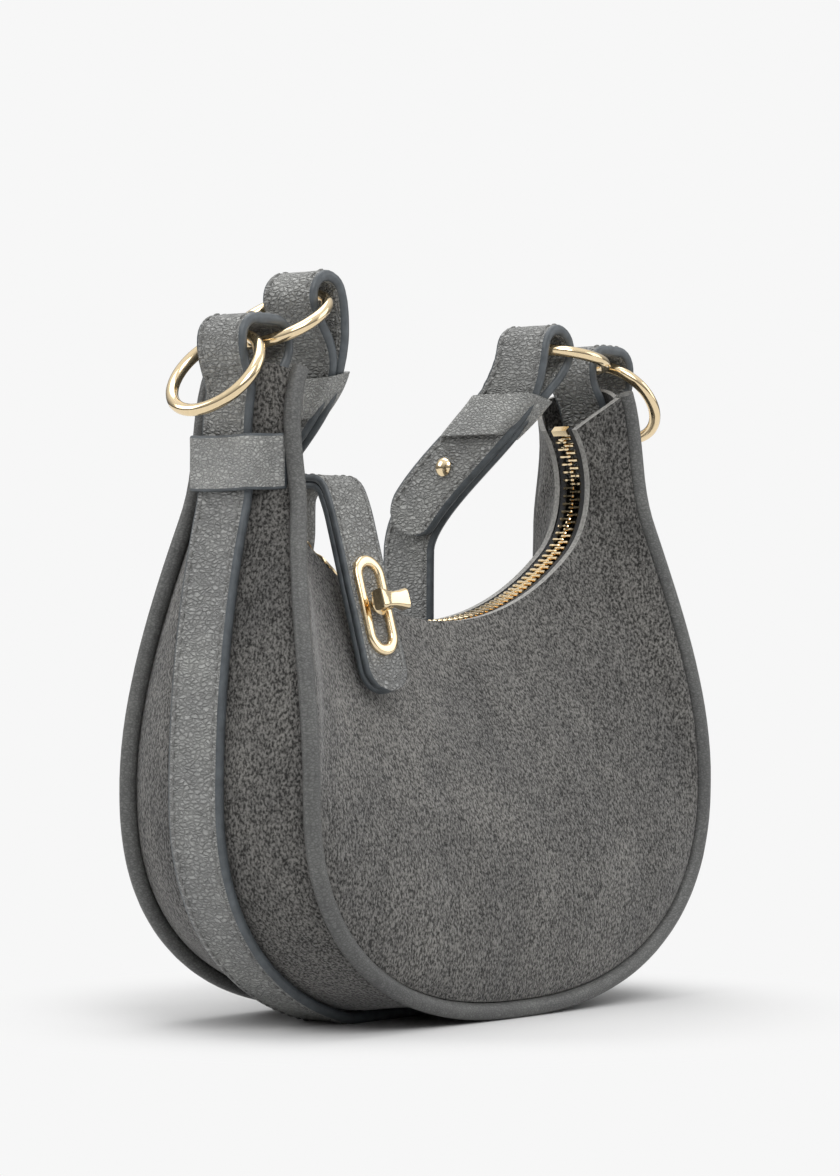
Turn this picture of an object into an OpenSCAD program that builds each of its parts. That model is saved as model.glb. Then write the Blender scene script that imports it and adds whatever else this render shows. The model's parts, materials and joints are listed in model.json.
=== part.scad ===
// Half moon bag: a crescent body that zips along its inner curve, with ring-hung strap and turn lock.
// X runs along the width, the front looks to -Y, and the bag stands on z = 0.

/* [Body] */
// Half width of the front and back seams at the widest place
seam_half_w = 92.5; // [85:0.5:105]
// Height of the widest place above the floor
wide_z = 69; // [60:1:80]
// Height of the horn tops
horn_z = 189; // [184:1:196]
// Reach of the upper side curve above the widest place
top_reach = 174; // [160:1:190]
// How far the horns flare out again at their tops
horn_flare = 10.4; // [6:0.2:12]
// Height where the flare begins
flare_low_z = 147; // [140:1:155]
// Height where the horns reach their least depth
neck_z = 183; // [170:1:189]
// Half depth between the seams at the widest place
mid_half_d = 35.5; // [30:0.5:42]
// Half depth between the seams at the bottom
base_half_d = 35; // [28:1:38]
// Half depth between the seams at the horn tops
horn_half_d = 17; // [15:0.5:20]
// Outward belly of the front and back panels
panel_belly = 12; // [8:1:16]
// Outward crown of the side gusset
gusset_crown = 8; // [4:0.5:9]
// Thickness of the front and back panels
panel_t = 2; // [1.5:0.1:2.4]
// Thickness of the gusset
gusset_t = 1.8; // [1.4:0.1:2]
// Radius of the leather piping on both seams
piping_r = 2.5; // [2:0.1:3]
// How far the piping's centre stands outside the seam
piping_out = 1; // [0.5:0.1:1.5]

/* [Mouth and zip] */
// Height of the mouth's lowest point
mouth_low_z = 117.5; // [114:0.5:122]
// Radius of the mouth's lower curve, which the slider follows
mouth_r = 100; // [90:1:110]
// Turn of the lower curve to each side, in degrees
mouth_low_turn = 38; // [34:1:40]
// Radius of the curves that lead up into the horns
mouth_corner_r = 27; // [25:0.5:29]
// Height of the mouth's two ends
mouth_top_z = 178; // [176:0.5:182]
// Half gap between the two rims
rim_half_gap = 7; // [6.8:0.1:9]
// Thickness of the zip tapes
tape_t = 0.8; // [0.5:0.1:1]
// Half width of the closed row of teeth
chain_half_w = 3.2; // [2.8:0.1:3.5]
// Height of one tooth
tooth_h = 2.4; // [2:0.1:2.8]
// Distance between the teeth of one side
tooth_pitch = 2.54; // [2.4:0.02:3]
// Length of the slider along the teeth
slider_l = 9; // [7:0.5:11]
// Length of the zip pull
pull_l = 16; // [12:0.5:17]

/* [Leather strips] */
// Width of the shoulder strap and of the strip along the gusset
strip_w = 20; // [18:0.5:21]
// Thickness of those strips
strip_t = 3.2; // [2.6:0.1:3.6]
// Width of the tab loops that hold the rings
loop_w = 18; // [16:0.5:19]
// Height of the band across each horn's gusset
band_h = 16; // [12:0.5:18]
// Thickness of the bands and keepers
band_t = 1.8; // [1.4:0.1:2]

/* [Rings] */
// Wire thickness of the rings
wire_d = 3.6; // [3:0.1:3.8]
// Radius of the rings to the middle of the wire
ring_r = 14.5; // [13:0.25:15]
// Height of the tunnels that the rings turn in
tunnel_z = 198; // [197.5:0.5:203]
// How far the strap rings' tunnels stand outside the horn tops
tunnel_out = 1.5; // [0.5:0.1:2.5]
// Rise of the left strap ring towards the middle
left_ring_rise = 32; // [24:1:36]
// Rise of the right strap ring towards the middle
right_ring_rise = 10; // [5:1:20]
// Lean of the hanging outer rings away from the horn
outer_ring_lean = 40; // [24:2:46]

/* [Shoulder strap] */
// Half width of the hanging strap's lower bend
bend_r = 44; // [40:1:48]
// Height of the centre of the lower bend
bend_z = 108; // [104:1:114]
// Distance of the hanging strap behind the middle
strap_back_y = 46; // [45:0.5:49]
// Height of the tip of the right short end
right_tip_z = 146; // [140:1:155]
// Height of the tip of the left short end
left_tip_z = 164; // [156:1:168]
// Length of the keepers along the strap
keeper_l = 12; // [10:0.5:14]

/* [Closure tab and turn lock] */
// Width of the closure tab
tab_w = 18; // [16:0.5:19]
// Distance of the tab's middle from the bag's middle
tab_x = 51; // [50:0.5:52]
// Thickness of each of the tab's two layers
tab_layer_t = 2.2; // [1.8:0.1:2.5]
// Height of the tab's fold above the rim beside it
tab_rise = 26.5; // [24:0.5:30]
// Height of the tab's tip
tab_tip_z = 97; // [92:1:102]
// Height of the lock plate
plate_h = 30; // [26:0.5:33]
// Width of the lock plate
plate_w = 13; // [12:0.5:14]
// Thickness of the lock plates
plate_t = 1.4; // [1:0.1:1.8]
// Length of the turning knob
knob_l = 12; // [10:0.5:13]

/* [Hidden] */

// Clearance between soft pieces
soft_gap = 0.3;
// Clearance round the rings' wire
ring_gap = 0.75;
// Clearance between the rings and the strap's ends
strap_ring_gap = 0.95;
// Clearance of the linings
lining_gap = 1;
// Clearance inside the keepers
keeper_gap = 0.8;
// Overrun of every cut
over = 1;
// Exponent that sets how soon the gusset's crown fades out towards the floor
crown_exp = 0.5;
// Exponents of the outline's lower and upper curves
low_exp = 2.36;
top_exp = 1.96;
// Depth that the floor presses off the strip where the bag stands
foot_press = 0.4;

// Steps along the outline and across the panels
outline_steps = 40;
panel_steps = 8;
gusset_steps = 6;
lining_steps = 24;
round_fn = 48;

// Height of the seams at the bottom, above the strip that the bag stands on
seam_base_z = strip_t + soft_gap;
low_reach = wide_z - seam_base_z;
// Least downward part of a direction that the floor presses on
flat_dir = 0.5;
// Room under the strip along the gusset
strip_room = 1.5 * soft_gap;
top_angle = asin(pow((horn_z - wide_z) / top_reach, top_exp / 2));
outline_turn = 180 + 2 * top_angle;
// Room between the seam line and the edge of the gusset, and of a panel
seam_room = piping_r + soft_gap;
panel_room = seam_room - piping_out;

function mix(a, b, share) = a + (b - a) * share;
function clamp01(v) = max(0, min(1, v));
function ease(v) = let (c = clamp01(v)) c * c * (3 - 2 * c);
function signed_pow(v, p) = sign(v) * pow(abs(v), p);
function unit(v) = v / norm(v);

// Outline of the seams, as a share from the left horn round the bottom to the right horn
function outline_angle(w) = -90 + (w - 0.5) * outline_turn;
function seam_at(w) = let (
    a = outline_angle(w),
    high = sin(a) > 0,
    p = 2 / (high ? top_exp : low_exp),
    z = wide_z + (high ? top_reach : low_reach) * signed_pow(sin(a), p),
    flare = horn_flare * ease((z - flare_low_z) / (horn_z - flare_low_z))
) [seam_half_w * signed_pow(cos(a), p) + sign(cos(a)) * flare, z];
function outward_at(w) = let (
    step = 0.002,
    t = unit(seam_at(w + step) - seam_at(w - step))
) [t[1], -t[0]];
function half_depth(w) = let (a = outline_angle(w), z = seam_at(w)[1])
    sin(a) < 0 ? mix(base_half_d, mid_half_d, pow(cos(a), 2))
               : mix(mid_half_d, horn_half_d, ease((z - wide_z) / (neck_z - wide_z)));
// Crown of the gusset, which the floor presses flat where the bag stands
function crown_at(w) = let (
    p = seam_at(w),
    o = outward_at(w),
    free = gusset_crown * pow(abs(cos(outline_angle(w))), crown_exp),
    pressed = (p[1] + foot_press) / max(-o[1], flat_dir) - strip_t - strip_room
) o[1] < -flat_dir ? min(free, pressed) : free;
// Share along the right half of the outline at a height above the widest place
function right_share(z) = 0.5 + (90 + asin(pow((z - wide_z) / top_reach, top_exp / 2))) / outline_turn;
function left_share(z) = 1 - right_share(z);

// Mouth curve: a wide lower arc and a tighter arc up into each horn, by distance from its lowest point
mouth_z = mouth_low_z + mouth_r;
corner_mid = (mouth_r - mouth_corner_r) * [sin(mouth_low_turn), -cos(mouth_low_turn)] + [0, mouth_z];
corner_turn = acos((corner_mid[1] - mouth_top_z) / mouth_corner_r) - mouth_low_turn;
low_half_l = mouth_r * mouth_low_turn * PI / 180;
mouth_half_l = low_half_l + mouth_corner_r * corner_turn * PI / 180;
function mouth_turn(d) = sign(d) * (abs(d) < low_half_l ? abs(d) / mouth_r * 180 / PI
    : mouth_low_turn + (abs(d) - low_half_l) / mouth_corner_r * 180 / PI);
function mouth_place(d, out) = let (t = mouth_turn(d), low = abs(d) < low_half_l)
    (low ? [0, mouth_z] : [sign(d) * corner_mid[0], corner_mid[1]])
        + ((low ? mouth_r : mouth_corner_r) + out) * [sin(t), -cos(t)];
function mouth_at(w) = mouth_place(mix(-mouth_half_l, mouth_half_l, w), 0);

// Point on the back panel's outer face; w runs along the outline and s from the seam to the mouth
function panel_at(w, s) = let (
    edge = seam_at(w) - outward_at(w) * panel_room,
    p = mix(edge, mouth_at(w), s),
    belly = panel_belly * pow(sin(180 * clamp01(w)), 1.5)
) [p[0], mix(half_depth(w), rim_half_gap, s) + belly * sin(180 * pow(s, 0.8)), p[1]];
// Point on the gusset; v runs from -1 at the front to 1 at the back
function gusset_at(w, v, out, half) = let (
    p = seam_at(w) + outward_at(w) * (crown_at(w) * (1 - v * v) + out)
) [p[0], v * half, p[1]];

// Solid between two grids of points of the same size; the first grid's rows turn to its outside
module slab(a, b) {
    rows = len(a);
    cols = len(a[0]);
    total = rows * cols;
    function at(i, j) = i * cols + j;
    function quad(p, q, r, s) = [[p, q, r], [p, r, s]];
    points = concat([for (row = a) each row], [for (row = b) each row]);
    faces = concat(
        [for (i = [0:rows - 2], j = [0:cols - 2])
            each quad(at(i, j), at(i + 1, j), at(i + 1, j + 1), at(i, j + 1))],
        [for (i = [0:rows - 2], j = [0:cols - 2])
            each quad(total + at(i, j), total + at(i, j + 1), total + at(i + 1, j + 1), total + at(i + 1, j))],
        [for (i = [0:rows - 2])
            each quad(at(i, 0), total + at(i, 0), total + at(i + 1, 0), at(i + 1, 0))],
        [for (i = [0:rows - 2])
            each quad(at(i, cols - 1), at(i + 1, cols - 1), total + at(i + 1, cols - 1), total + at(i, cols - 1))],
        [for (j = [0:cols - 2])
            each quad(at(0, j), at(0, j + 1), total + at(0, j + 1), total + at(0, j))],
        [for (j = [0:cols - 2])
            each quad(at(rows - 1, j), total + at(rows - 1, j), total + at(rows - 1, j + 1), at(rows - 1, j + 1))]
    );
    polyhedron(points, faces);
}

// Solid through a list of rings of points, closed by a flat end on each side
module sweep(rings) {
    n = len(rings[0]);
    last = len(rings) - 1;
    points = [for (r = rings) each r];
    faces = concat(
        [for (i = [0:last - 1], j = [0:n - 1]) let (k = (j + 1) % n)
            each [[i * n + j, i * n + k, (i + 1) * n + k], [i * n + j, (i + 1) * n + k, (i + 1) * n + j]]],
        [for (j = [1:n - 2]) [0, j + 1, j]],
        [for (j = [1:n - 2]) [last * n, last * n + j, last * n + j + 1]]
    );
    polyhedron(points, faces);
}

function panel_grid(w0, w1, s0, s1, steps, across, shift, side) = [
    for (i = [0:steps]) [for (j = [0:across]) let (
        p = panel_at(mix(w0, w1, i / steps), mix(s0, s1, j / across))
    ) [p[0], side * (p[1] - shift), p[2]]]
];
function gusset_grid(w0, w1, steps, trim, out) = [
    for (i = [0:steps]) let (w = mix(w0, w1, i / steps))
        [for (j = [0:gusset_steps]) gusset_at(w, 2 * j / gusset_steps - 1, out, half_depth(w) - trim)]
];

// A layer of the front (side -1) or back (side 1) wall, from one depth under its face to another
module wall_layer(side, w0, w1, s0, s1, steps, across, depth, t) {
    outer = panel_grid(w0, w1, s0, s1, steps, across, depth, side);
    inner = panel_grid(w0, w1, s0, s1, steps, across, depth + t, side);
    if (side > 0) slab(outer, inner);
    else slab(inner, outer);
}
module gusset_layer(w0, w1, steps, trim, depth, t) {
    slab(gusset_grid(w0, w1, steps, trim, -depth), gusset_grid(w0, w1, steps, trim, -depth - t));
}

module front_panel() {
    color("#55565a") wall_layer(-1, 0, 1, 0, 1, outline_steps, panel_steps, 0, panel_t);
}
module back_panel() {
    color("#55565a") wall_layer(1, 0, 1, 0, 1, outline_steps, panel_steps, 0, panel_t);
}
module gusset() {
    color("#505155") gusset_layer(0, 1, outline_steps, seam_room, 0, gusset_t);
}

// Lining and stiffening inside the shell; the linings end below the strips inside the horns
lining_t = 0.6;
lining_end_share = 0.075;
board_half_w_share = 0.16;
pocket_t = 0.8;
board_t = 1.5;
module wall_lining(side) {
    wall_layer(side, lining_end_share, 1 - lining_end_share, 0.03, 0.93, lining_steps, 5,
        panel_t + lining_gap, lining_t);
}
module front_lining() { color("#3d3f45") wall_lining(-1); }
module back_lining() { color("#3d3f45") wall_lining(1); }
module gusset_lining() {
    color("#3d3f45") gusset_layer(lining_end_share, 1 - lining_end_share, lining_steps,
        seam_room + panel_t + lining_gap, gusset_t + lining_gap, lining_t);
}
module inner_pocket() {
    color("#45474d") wall_layer(1, 0.3, 0.7, 0.25, 0.8, 12, 5,
        panel_t + lining_t + 2 * lining_gap, pocket_t);
}
module base_board() {
    w0 = 0.5 - board_half_w_share;
    color("#8a7f70") gusset_layer(w0, 1 - w0, 16, seam_room + panel_t + 2 * lining_gap,
        gusset_t + lining_t + 2 * lining_gap, board_t);
}

// Piping along a seam
piping_sides = 10;
module piping(side) {
    color("#3c3e44") sweep([for (i = [0:outline_steps]) let (
        w = i / outline_steps,
        o = outward_at(w),
        c = seam_at(w) + o * piping_out
    ) [for (k = [0:piping_sides - 1]) let (a = -360 * (k + 0.5) / piping_sides)
        [c[0] + o[0] * piping_r * cos(a), side * half_depth(w) + piping_r * sin(a),
         c[1] + o[1] * piping_r * cos(a)]]]);
}
module front_piping() { piping(-1); }
module back_piping() { piping(1); }

// Strip along the middle of the gusset, from under one band to under the other
band_top_z = 171;
band_low_z = band_top_z - band_h;
band_mid_z = band_top_z - band_h / 2;
band_steps = 6;
function strip_line(w, out) = seam_at(w) + outward_at(w) * (crown_at(w) + strip_room + out);
module gusset_strap() {
    w0 = left_share(band_mid_z - soft_gap);
    h = strip_w / 2;
    color("#3a3c42") intersection() {
        sweep([for (i = [0:outline_steps]) let (
            w = mix(w0, 1 - w0, i / outline_steps),
            a = strip_line(w, 0),
            b = strip_line(w, strip_t)
        ) [[a[0], h, a[1]], [b[0], h, b[1]], [b[0], -h, b[1]], [a[0], -h, a[1]]]]);
        translate([-2 * seam_half_w, -strip_w, 0]) cube([4 * seam_half_w, 2 * strip_w, horn_z]);
    }
}

// Band across the gusset of a horn, stepping over the strip
band_shares = [-1, -0.86, -0.7, -0.35, 0, 0.35, 0.7, 0.86, 1];
module left_band() {
    w_low = left_share(band_low_z);
    w_top = left_share(band_top_z);
    function lift(v) = abs(v) < 0.75 ? strip_t + strip_room + soft_gap : 0;
    function grid(out) = [for (i = [0:band_steps]) let (w = mix(w_top, w_low, i / band_steps), half = half_depth(w) - seam_room)
        [for (v = band_shares) let (c = crown_at(w))
            gusset_at(w, v, out + soft_gap + lift(v) + (lift(v) > 0 ? c * v * v : 0), half)]];
    color("#33353b") slab(grid(band_t), grid(0));
}
module right_band() { mirror([1, 0, 0]) left_band(); }

// Strip of leather through a list of places in the XZ plane
function side_dir(path, i) = let (
    a = path[max(i - 1, 0)],
    b = path[min(i + 1, len(path) - 1)],
    t = unit(b - a)
) [-t[1], t[0]];
function strip_outline(path, t) = concat(
    [for (i = [0:len(path) - 1]) path[i] + side_dir(path, i) * t / 2],
    [for (i = [len(path) - 1:-1:0]) path[i] - side_dir(path, i) * t / 2]
);
module flat_strip(path, t, w) {
    rotate([90, 0, 0]) translate([0, 0, -w / 2]) linear_extrude(w) polygon(strip_outline(path, t));
}

// Tab loop at the left horn: up the outside, over both rings and down inside the horn
strap_tunnel_x = seam_at(1)[0] + tunnel_out;
sagitta = ring_r - sqrt(ring_r * ring_r - loop_w * loop_w / 4);
tunnel_r = sagitta / 2 + wire_d / 2 + ring_gap;
outer_tunnel_x = strap_tunnel_x + 2 * tunnel_r;
loop_line_r = tunnel_r + strip_t / 2;
inner_strip_depth = gusset_t + 2.5 * strip_room + strip_t / 2;
leg_steps = 8;
leg_top_drop = 7;
function loop_arc(x, a0, a1) = [for (i = [0:6]) let (a = mix(a0, a1, i / 6))
    [x + loop_line_r * cos(a), tunnel_z + loop_line_r * sin(a)]];
module left_tab_loop() {
    outside = [for (i = [0:leg_steps]) let (z = mix(band_mid_z, horn_z - leg_top_drop, i / leg_steps))
        strip_line(left_share(z), strip_t / 2)];
    inside = [for (i = [0:leg_steps]) let (
        w = left_share(mix(horn_z - over, band_mid_z, i / leg_steps)),
        v = loop_w / 2 / (half_depth(w) - seam_room)
    ) seam_at(w) + outward_at(w) * (crown_at(w) * (1 - v * v) - inner_strip_depth)];
    drop = tunnel_z - tunnel_r;
    color("#3a3c42") flat_strip(concat(outside, [[-outer_tunnel_x - loop_line_r, drop]],
        loop_arc(-outer_tunnel_x, 180, 90), loop_arc(-strap_tunnel_x, 90, 0),
        [[-strap_tunnel_x + loop_line_r, drop]], inside), strip_t, loop_w);
}
module right_tab_loop() { mirror([1, 0, 0]) left_tab_loop(); }

// Ring that turns about the line along Y through a tunnel and reaches out at an angle above level
hinge_to_centre = ring_r - sagitta / 2;
module ring(x, lift) {
    translate([x, 0, tunnel_z]) rotate([0, -lift, 0]) translate([hinge_to_centre, 0, 0])
        rotate_extrude($fn = round_fn) translate([ring_r, 0]) circle(d = wire_d, $fn = round_fn / 2);
}
module left_outer_ring() { color("#e6cf9a") ring(-outer_tunnel_x, -90 - outer_ring_lean); }
module right_outer_ring() { mirror([1, 0, 0]) left_outer_ring(); }
module left_strap_ring() { color("#e6cf9a") ring(-strap_tunnel_x, left_ring_rise); }
module right_strap_ring() { color("#e6cf9a") mirror([1, 0, 0]) ring(-strap_tunnel_x, right_ring_rise); }

// Shoulder strap: both branches run in from their rings, then down behind the back panel
ring_end_sagitta = ring_r - sqrt(ring_r * ring_r - strip_w * strip_w / 4);
function ring_end(rise) = [
    strap_tunnel_x - (hinge_to_centre + ring_r - ring_end_sagitta / 2) * cos(rise),
    tunnel_z + (hinge_to_centre + ring_r - ring_end_sagitta / 2) * sin(rise)
];
right_end = ring_end(right_ring_rise);
left_end = ring_end(left_ring_rise);
end_line_r = ring_end_sagitta / 2 + wire_d / 2 + strap_ring_gap + strip_t / 2;
pair_line = (strip_t + soft_gap) / 2;
converge_l = 20;
inrun_exp = 3.5;
// Height where the strap starts and ends its way back behind the bag
back_start_z = tunnel_z + wire_d;
back_end_z = 140;
function strap_y(z) = strap_back_y * ease((back_start_z - z) / (back_start_z - back_end_z));
// Middle of a branch at a height, for an end at a ring, on the +X side
function branch_x(z, e) = bend_r + (e[0] - bend_r) * pow(clamp01((z - bend_z) / (e[1] - bend_z)), inrun_exp);
function branch_dir(z, e) = unit([branch_x(z + over, e) - branch_x(z - over, e), 2 * over]);
function branch_gap(z, e) = mix(pair_line, end_line_r, ease((z - (e[1] - converge_l)) / converge_l));
// Place of the inner (side -1) or outer (side 1) layer
function layer_at(z, e, side) = let (d = z > e[1] - over ? branch_dir(e[1] - over, e) : branch_dir(z, e))
    [branch_x(z, e), z] + side * branch_gap(z, e) * [d[1], -d[0]];
function end_turn(e) = let (d = branch_dir(e[1] - over, e)) [for (i = [1:7]) let (a = 180 * i / 8)
    e + end_line_r * (-cos(a) * [d[1], -d[0]] + sin(a) * d)];
function half_route(e, tip_z) = concat(
    [for (i = [0:9]) layer_at(mix(tip_z, e[1], i / 9), e, -1)],
    end_turn(e),
    [for (i = [0:17]) layer_at(mix(e[1], bend_z, i / 17), e, 1)]
);
function mirrored(path) = [for (i = [len(path) - 1:-1:0]) [-path[i][0], path[i][1]]];
strap_route = concat(
    half_route(right_end, right_tip_z),
    [for (i = [1:11]) let (a = -180 * i / 12) [(bend_r + pair_line) * cos(a), bend_z + (bend_r + pair_line) * sin(a)]],
    mirrored(half_route(left_end, left_tip_z))
);
function strap_ring_of(p, n, t, w) = let (y = strap_y(p[1]), a = p + n * t / 2, b = p - n * t / 2)
    [[a[0], y + w / 2, a[1]], [b[0], y + w / 2, b[1]], [b[0], y - w / 2, b[1]], [a[0], y - w / 2, a[1]]];
module shoulder_strap() {
    color("#3a3c42") sweep([for (i = [0:len(strap_route) - 1])
        strap_ring_of(strap_route[i], side_dir(strap_route, i), strip_t, strip_w)]);
}

// Keeper round both layers of a branch on the +X side, its middle a distance below the ring
left_keeper_drop = 28;
right_keeper_drop = 21;
module keeper(e, drop) {
    function core(l, t, w) = [for (i = [0:4]) let (
        z = e[1] - drop + l * (i / 4 - 0.5),
        d = branch_dir(z, e)
    ) strap_ring_of([branch_x(z, e), z], [-d[1], d[0]], 2 * branch_gap(z, e) + strip_t + t, w)];
    color("#33353b") difference() {
        sweep(core(keeper_l, 2 * (keeper_gap + band_t), strip_w + 2 * (keeper_gap + band_t)));
        sweep(core(keeper_l + 2 * over, 2 * keeper_gap, strip_w + 2 * keeper_gap));
    }
}
module left_keeper() { mirror([1, 0, 0]) keeper(left_end, left_keeper_drop); }
module right_keeper() { keeper(right_end, right_keeper_drop); }

// Stud on the inner face of the right short end
stud_r = 3;
stud_h = 2;
stud_z = 166;
module strap_stud() {
    d = branch_dir(stud_z, right_end);
    p = layer_at(stud_z, right_end, -1) - (strip_t / 2 + soft_gap) * [d[1], -d[0]];
    lean = atan2(d[0], d[1]);
    color("#e6cf9a") translate([p[0], strap_y(p[1]), p[1]]) rotate([0, -90 + lean, 0])
        cylinder(h = stud_h, r = stud_r, $fn = round_fn);
}

// Zip: tapes, teeth, stops and slider along the mouth's curve
tape_room = 0.4;
chain_out = tape_room + tape_t / 2;
tooth_w = 1;
tooth_split = 0.7;
stop_l = 2;
chain_half_l = mouth_half_l - stop_l - soft_gap;
tape_steps = 48;
module back_zip_tape() {
    function grid(out) = [for (i = [0:tape_steps]) let (
        q = mouth_place(mix(-mouth_half_l, mouth_half_l, i / tape_steps), out)
    ) [for (y = [chain_half_w, rim_half_gap - panel_t - soft_gap]) [q[0], y, q[1]]]];
    color("#2f3137") slab(grid(tape_room + tape_t), grid(tape_room));
}
module front_zip_tape() { mirror([0, 1, 0]) back_zip_tape(); }
// Places a child on the chain, its +X away from the mouth's centre and its +Z along the curve
module at_chain(d) {
    p = mouth_place(d, chain_out);
    translate([p[0], 0, p[1]]) rotate([0, 90 - mouth_turn(d), 0]) children();
}
tooth_count = floor((2 * chain_half_l - tooth_w) / tooth_pitch - 0.5) + 1;
first_tooth = -(tooth_count - 0.5) * tooth_pitch / 2;
module tooth_row(offset_share) {
    for (i = [0:tooth_count - 1])
        at_chain(first_tooth + (i + offset_share) * tooth_pitch)
            translate([-tooth_h / 2, tooth_split, -tooth_w / 2])
                cube([tooth_h, chain_half_w - tooth_split, tooth_w]);
}
module back_zip_teeth() { color("#e6cf9a") tooth_row(0); }
module front_zip_teeth() { color("#e6cf9a") mirror([0, 1, 0]) tooth_row(0.5); }
module zip_stop(side) {
    color("#e6cf9a") at_chain(side * (mouth_half_l - stop_l / 2))
        translate([-tooth_h / 2, -chain_half_w + soft_gap, -stop_l / 2])
            cube([tooth_h, 2 * (chain_half_w - soft_gap), stop_l]);
}
module left_zip_stop() { zip_stop(-1); }
module right_zip_stop() { zip_stop(1); }

// Slider: an upper and a lower plate joined by a blade that runs between the teeth
slider_t = 1.2;
slider_w = 9;
slider_room = 0.4;
blade_t = 0.9;
blade_end_share = 0.15;
chain_r = mouth_r + chain_out;
plate_in_r = chain_r - tooth_h / 2 - slider_room - slider_t;
plate_out_r = chain_r + tooth_h / 2 + slider_room;
lug_h = 3;
lug_pin_r = 0.8;
lug_t = 1.2;
lug_gap = 2.4;
pull_t = 1.4;
pull_w = 5;
slider_half_turn = slider_l / chain_r * 90 / PI;
slider_angle = 270 - mouth_low_turn + slider_half_turn;
module arc_band(r0, r1, y0, y1, a0, a1) {
    translate([0, y1, mouth_z]) rotate([90, 0, 0]) rotate([0, 0, a0])
        rotate_extrude(angle = a1 - a0, $fn = 4 * round_fn) translate([r0, 0]) square([r1 - r0, y1 - y0]);
}
module at_slider() { translate([0, 0, mouth_z]) rotate([0, -slider_angle, 0]) children(); }
module zip_slider() {
    a0 = slider_angle - slider_half_turn;
    a1 = slider_angle + slider_half_turn;
    color("#e6cf9a") {
        arc_band(plate_in_r, plate_in_r + slider_t, -slider_w / 2, slider_w / 2, a0, a1);
        arc_band(plate_out_r, plate_out_r + slider_t, -slider_w / 2, slider_w / 2, a0, a1);
        arc_band(plate_in_r, plate_out_r + slider_t, -blade_t / 2, blade_t / 2,
            mix(a0, a1, blade_end_share), mix(a1, a0, blade_end_share));
        at_slider() for (side = [-1, 1])
            translate([plate_in_r - lug_h, side * (lug_gap + lug_t) / 2 - lug_t / 2, -lug_h / 2])
                cube([lug_h + slider_t / 2, lug_t, lug_h]);
        at_slider() translate([plate_in_r - lug_h / 2 - lug_pin_r / 2, 0, 0]) rotate([90, 0, 0])
            cylinder(h = lug_gap + lug_t, r = lug_pin_r, center = true, $fn = round_fn);
    }
}
pull_eye_r = lug_pin_r + slider_room / 2;
pull_neck_w = lug_gap - 2 * slider_room;
module zip_pull() {
    color("#e6cf9a") at_slider() translate([plate_in_r - lug_h / 2 - lug_pin_r / 2, 0, 0]) {
        difference() {
            union() {
                rotate([90, 0, 0]) cylinder(h = pull_neck_w, r = pull_eye_r + pull_t / 2, center = true, $fn = round_fn);
                translate([-pull_t / 2, -pull_neck_w / 2, 0]) cube([pull_t, pull_neck_w, slider_l / 2 + over]);
                translate([-pull_t / 2, 0, slider_l / 2]) rotate([0, 90, 0]) linear_extrude(pull_t)
                    translate([-(pull_l - slider_l / 2), -pull_w / 2]) square([pull_l - slider_l / 2, pull_w]);
            }
            rotate([90, 0, 0]) cylinder(h = pull_w + over, r = pull_eye_r, center = true, $fn = round_fn);
        }
    }
}

// Closure tab: a root sewn behind the back rim crosses the mouth, and its front part hangs from the fold
rim_z = mouth_z - sqrt(mouth_r * mouth_r - tab_x * tab_x);
rim_out_x = tab_x + tab_w / 2;
rim_out_z = mouth_z - sqrt(mouth_r * mouth_r - rim_out_x * rim_out_x);
root_room = 2.5 * soft_gap;
root_foot = panel_at(0.2532, 0.778);
root_lean = atan2(root_foot[1] - rim_half_gap, rim_out_z - root_foot[2]);
root_y = rim_half_gap + root_room + tab_layer_t;
root_turn_r = 6;
fold_y = -9.5;
fold_z = rim_z + tab_rise;
hang_y = -27;
tab_lean = atan2(fold_y - hang_y, fold_z - tab_tip_z);
tab_l = (fold_z - tab_tip_z) / cos(tab_lean);
tab_corner_r = tab_w * 0.42;
lock_drop_share = 0.6;
post_r = 2;
post_out = 5;
knob_w = 6;
knob_t = 4;
knob_hub_r = 3.2;
plate_slot_w = 6.5;
back_plate_w = 10;
back_plate_h = 24;
module tab_root() {
    turn = [for (i = [0:4]) let (a = mix(0, 90, i / 4))
        [root_y - root_turn_r + root_turn_r * cos(a), fold_z - root_turn_r + root_turn_r * sin(a)]];
    foot = [root_foot[1], root_foot[2]] + (root_room + tab_layer_t) * [cos(root_lean), sin(root_lean)];
    path = concat([foot, [root_y, rim_out_z + soft_gap]], turn, [[fold_y + tab_layer_t + soft_gap, fold_z]]);
    color("#36383e") translate([-tab_x - tab_w / 2, 0, 0]) rotate([90, 0, 90])
        linear_extrude(tab_w) polygon(strip_outline(path, 2 * tab_layer_t));
}
// Places on the hanging part: its fold at the origin, its tip towards -Z and its face towards -Y
module at_tab() { translate([-tab_x, fold_y, fold_z]) rotate([-tab_lean, 0, 0]) children(); }
module at_lock() { at_tab() translate([0, 0, -lock_drop_share * tab_l]) children(); }
module tab_outline(l) {
    r = tab_corner_r;
    hull() {
        translate([-tab_w / 2, -over]) square([tab_w, over]);
        for (side = [-1, 1]) translate([side * (tab_w / 2 - r), r - l]) circle(r, $fn = round_fn);
    }
}
module tab_layer(y, l, trim) {
    difference() {
        at_tab() intersection() {
            translate([0, y + tab_layer_t, 0]) rotate([90, 0, 0]) linear_extrude(tab_layer_t) tab_outline(l);
            translate([-tab_w, y - over, -tab_l - over]) cube([2 * tab_w, tab_layer_t + 2 * over, tab_l + over - trim]);
        }
        at_lock() rotate([90, 0, 0]) cylinder(h = 4 * tab_layer_t, r = post_r + soft_gap, center = true, $fn = round_fn);
    }
}
module closure_tab() {
    color("#36383e") {
        tab_layer(-tab_layer_t, tab_l, 0);
        at_tab() rotate([0, 90, 0]) cylinder(h = tab_w, r = tab_layer_t, center = true, $fn = round_fn);
    }
}
module tab_backing() { color("#303238") tab_layer(0, tab_l - soft_gap, tab_layer_t + soft_gap); }
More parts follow.
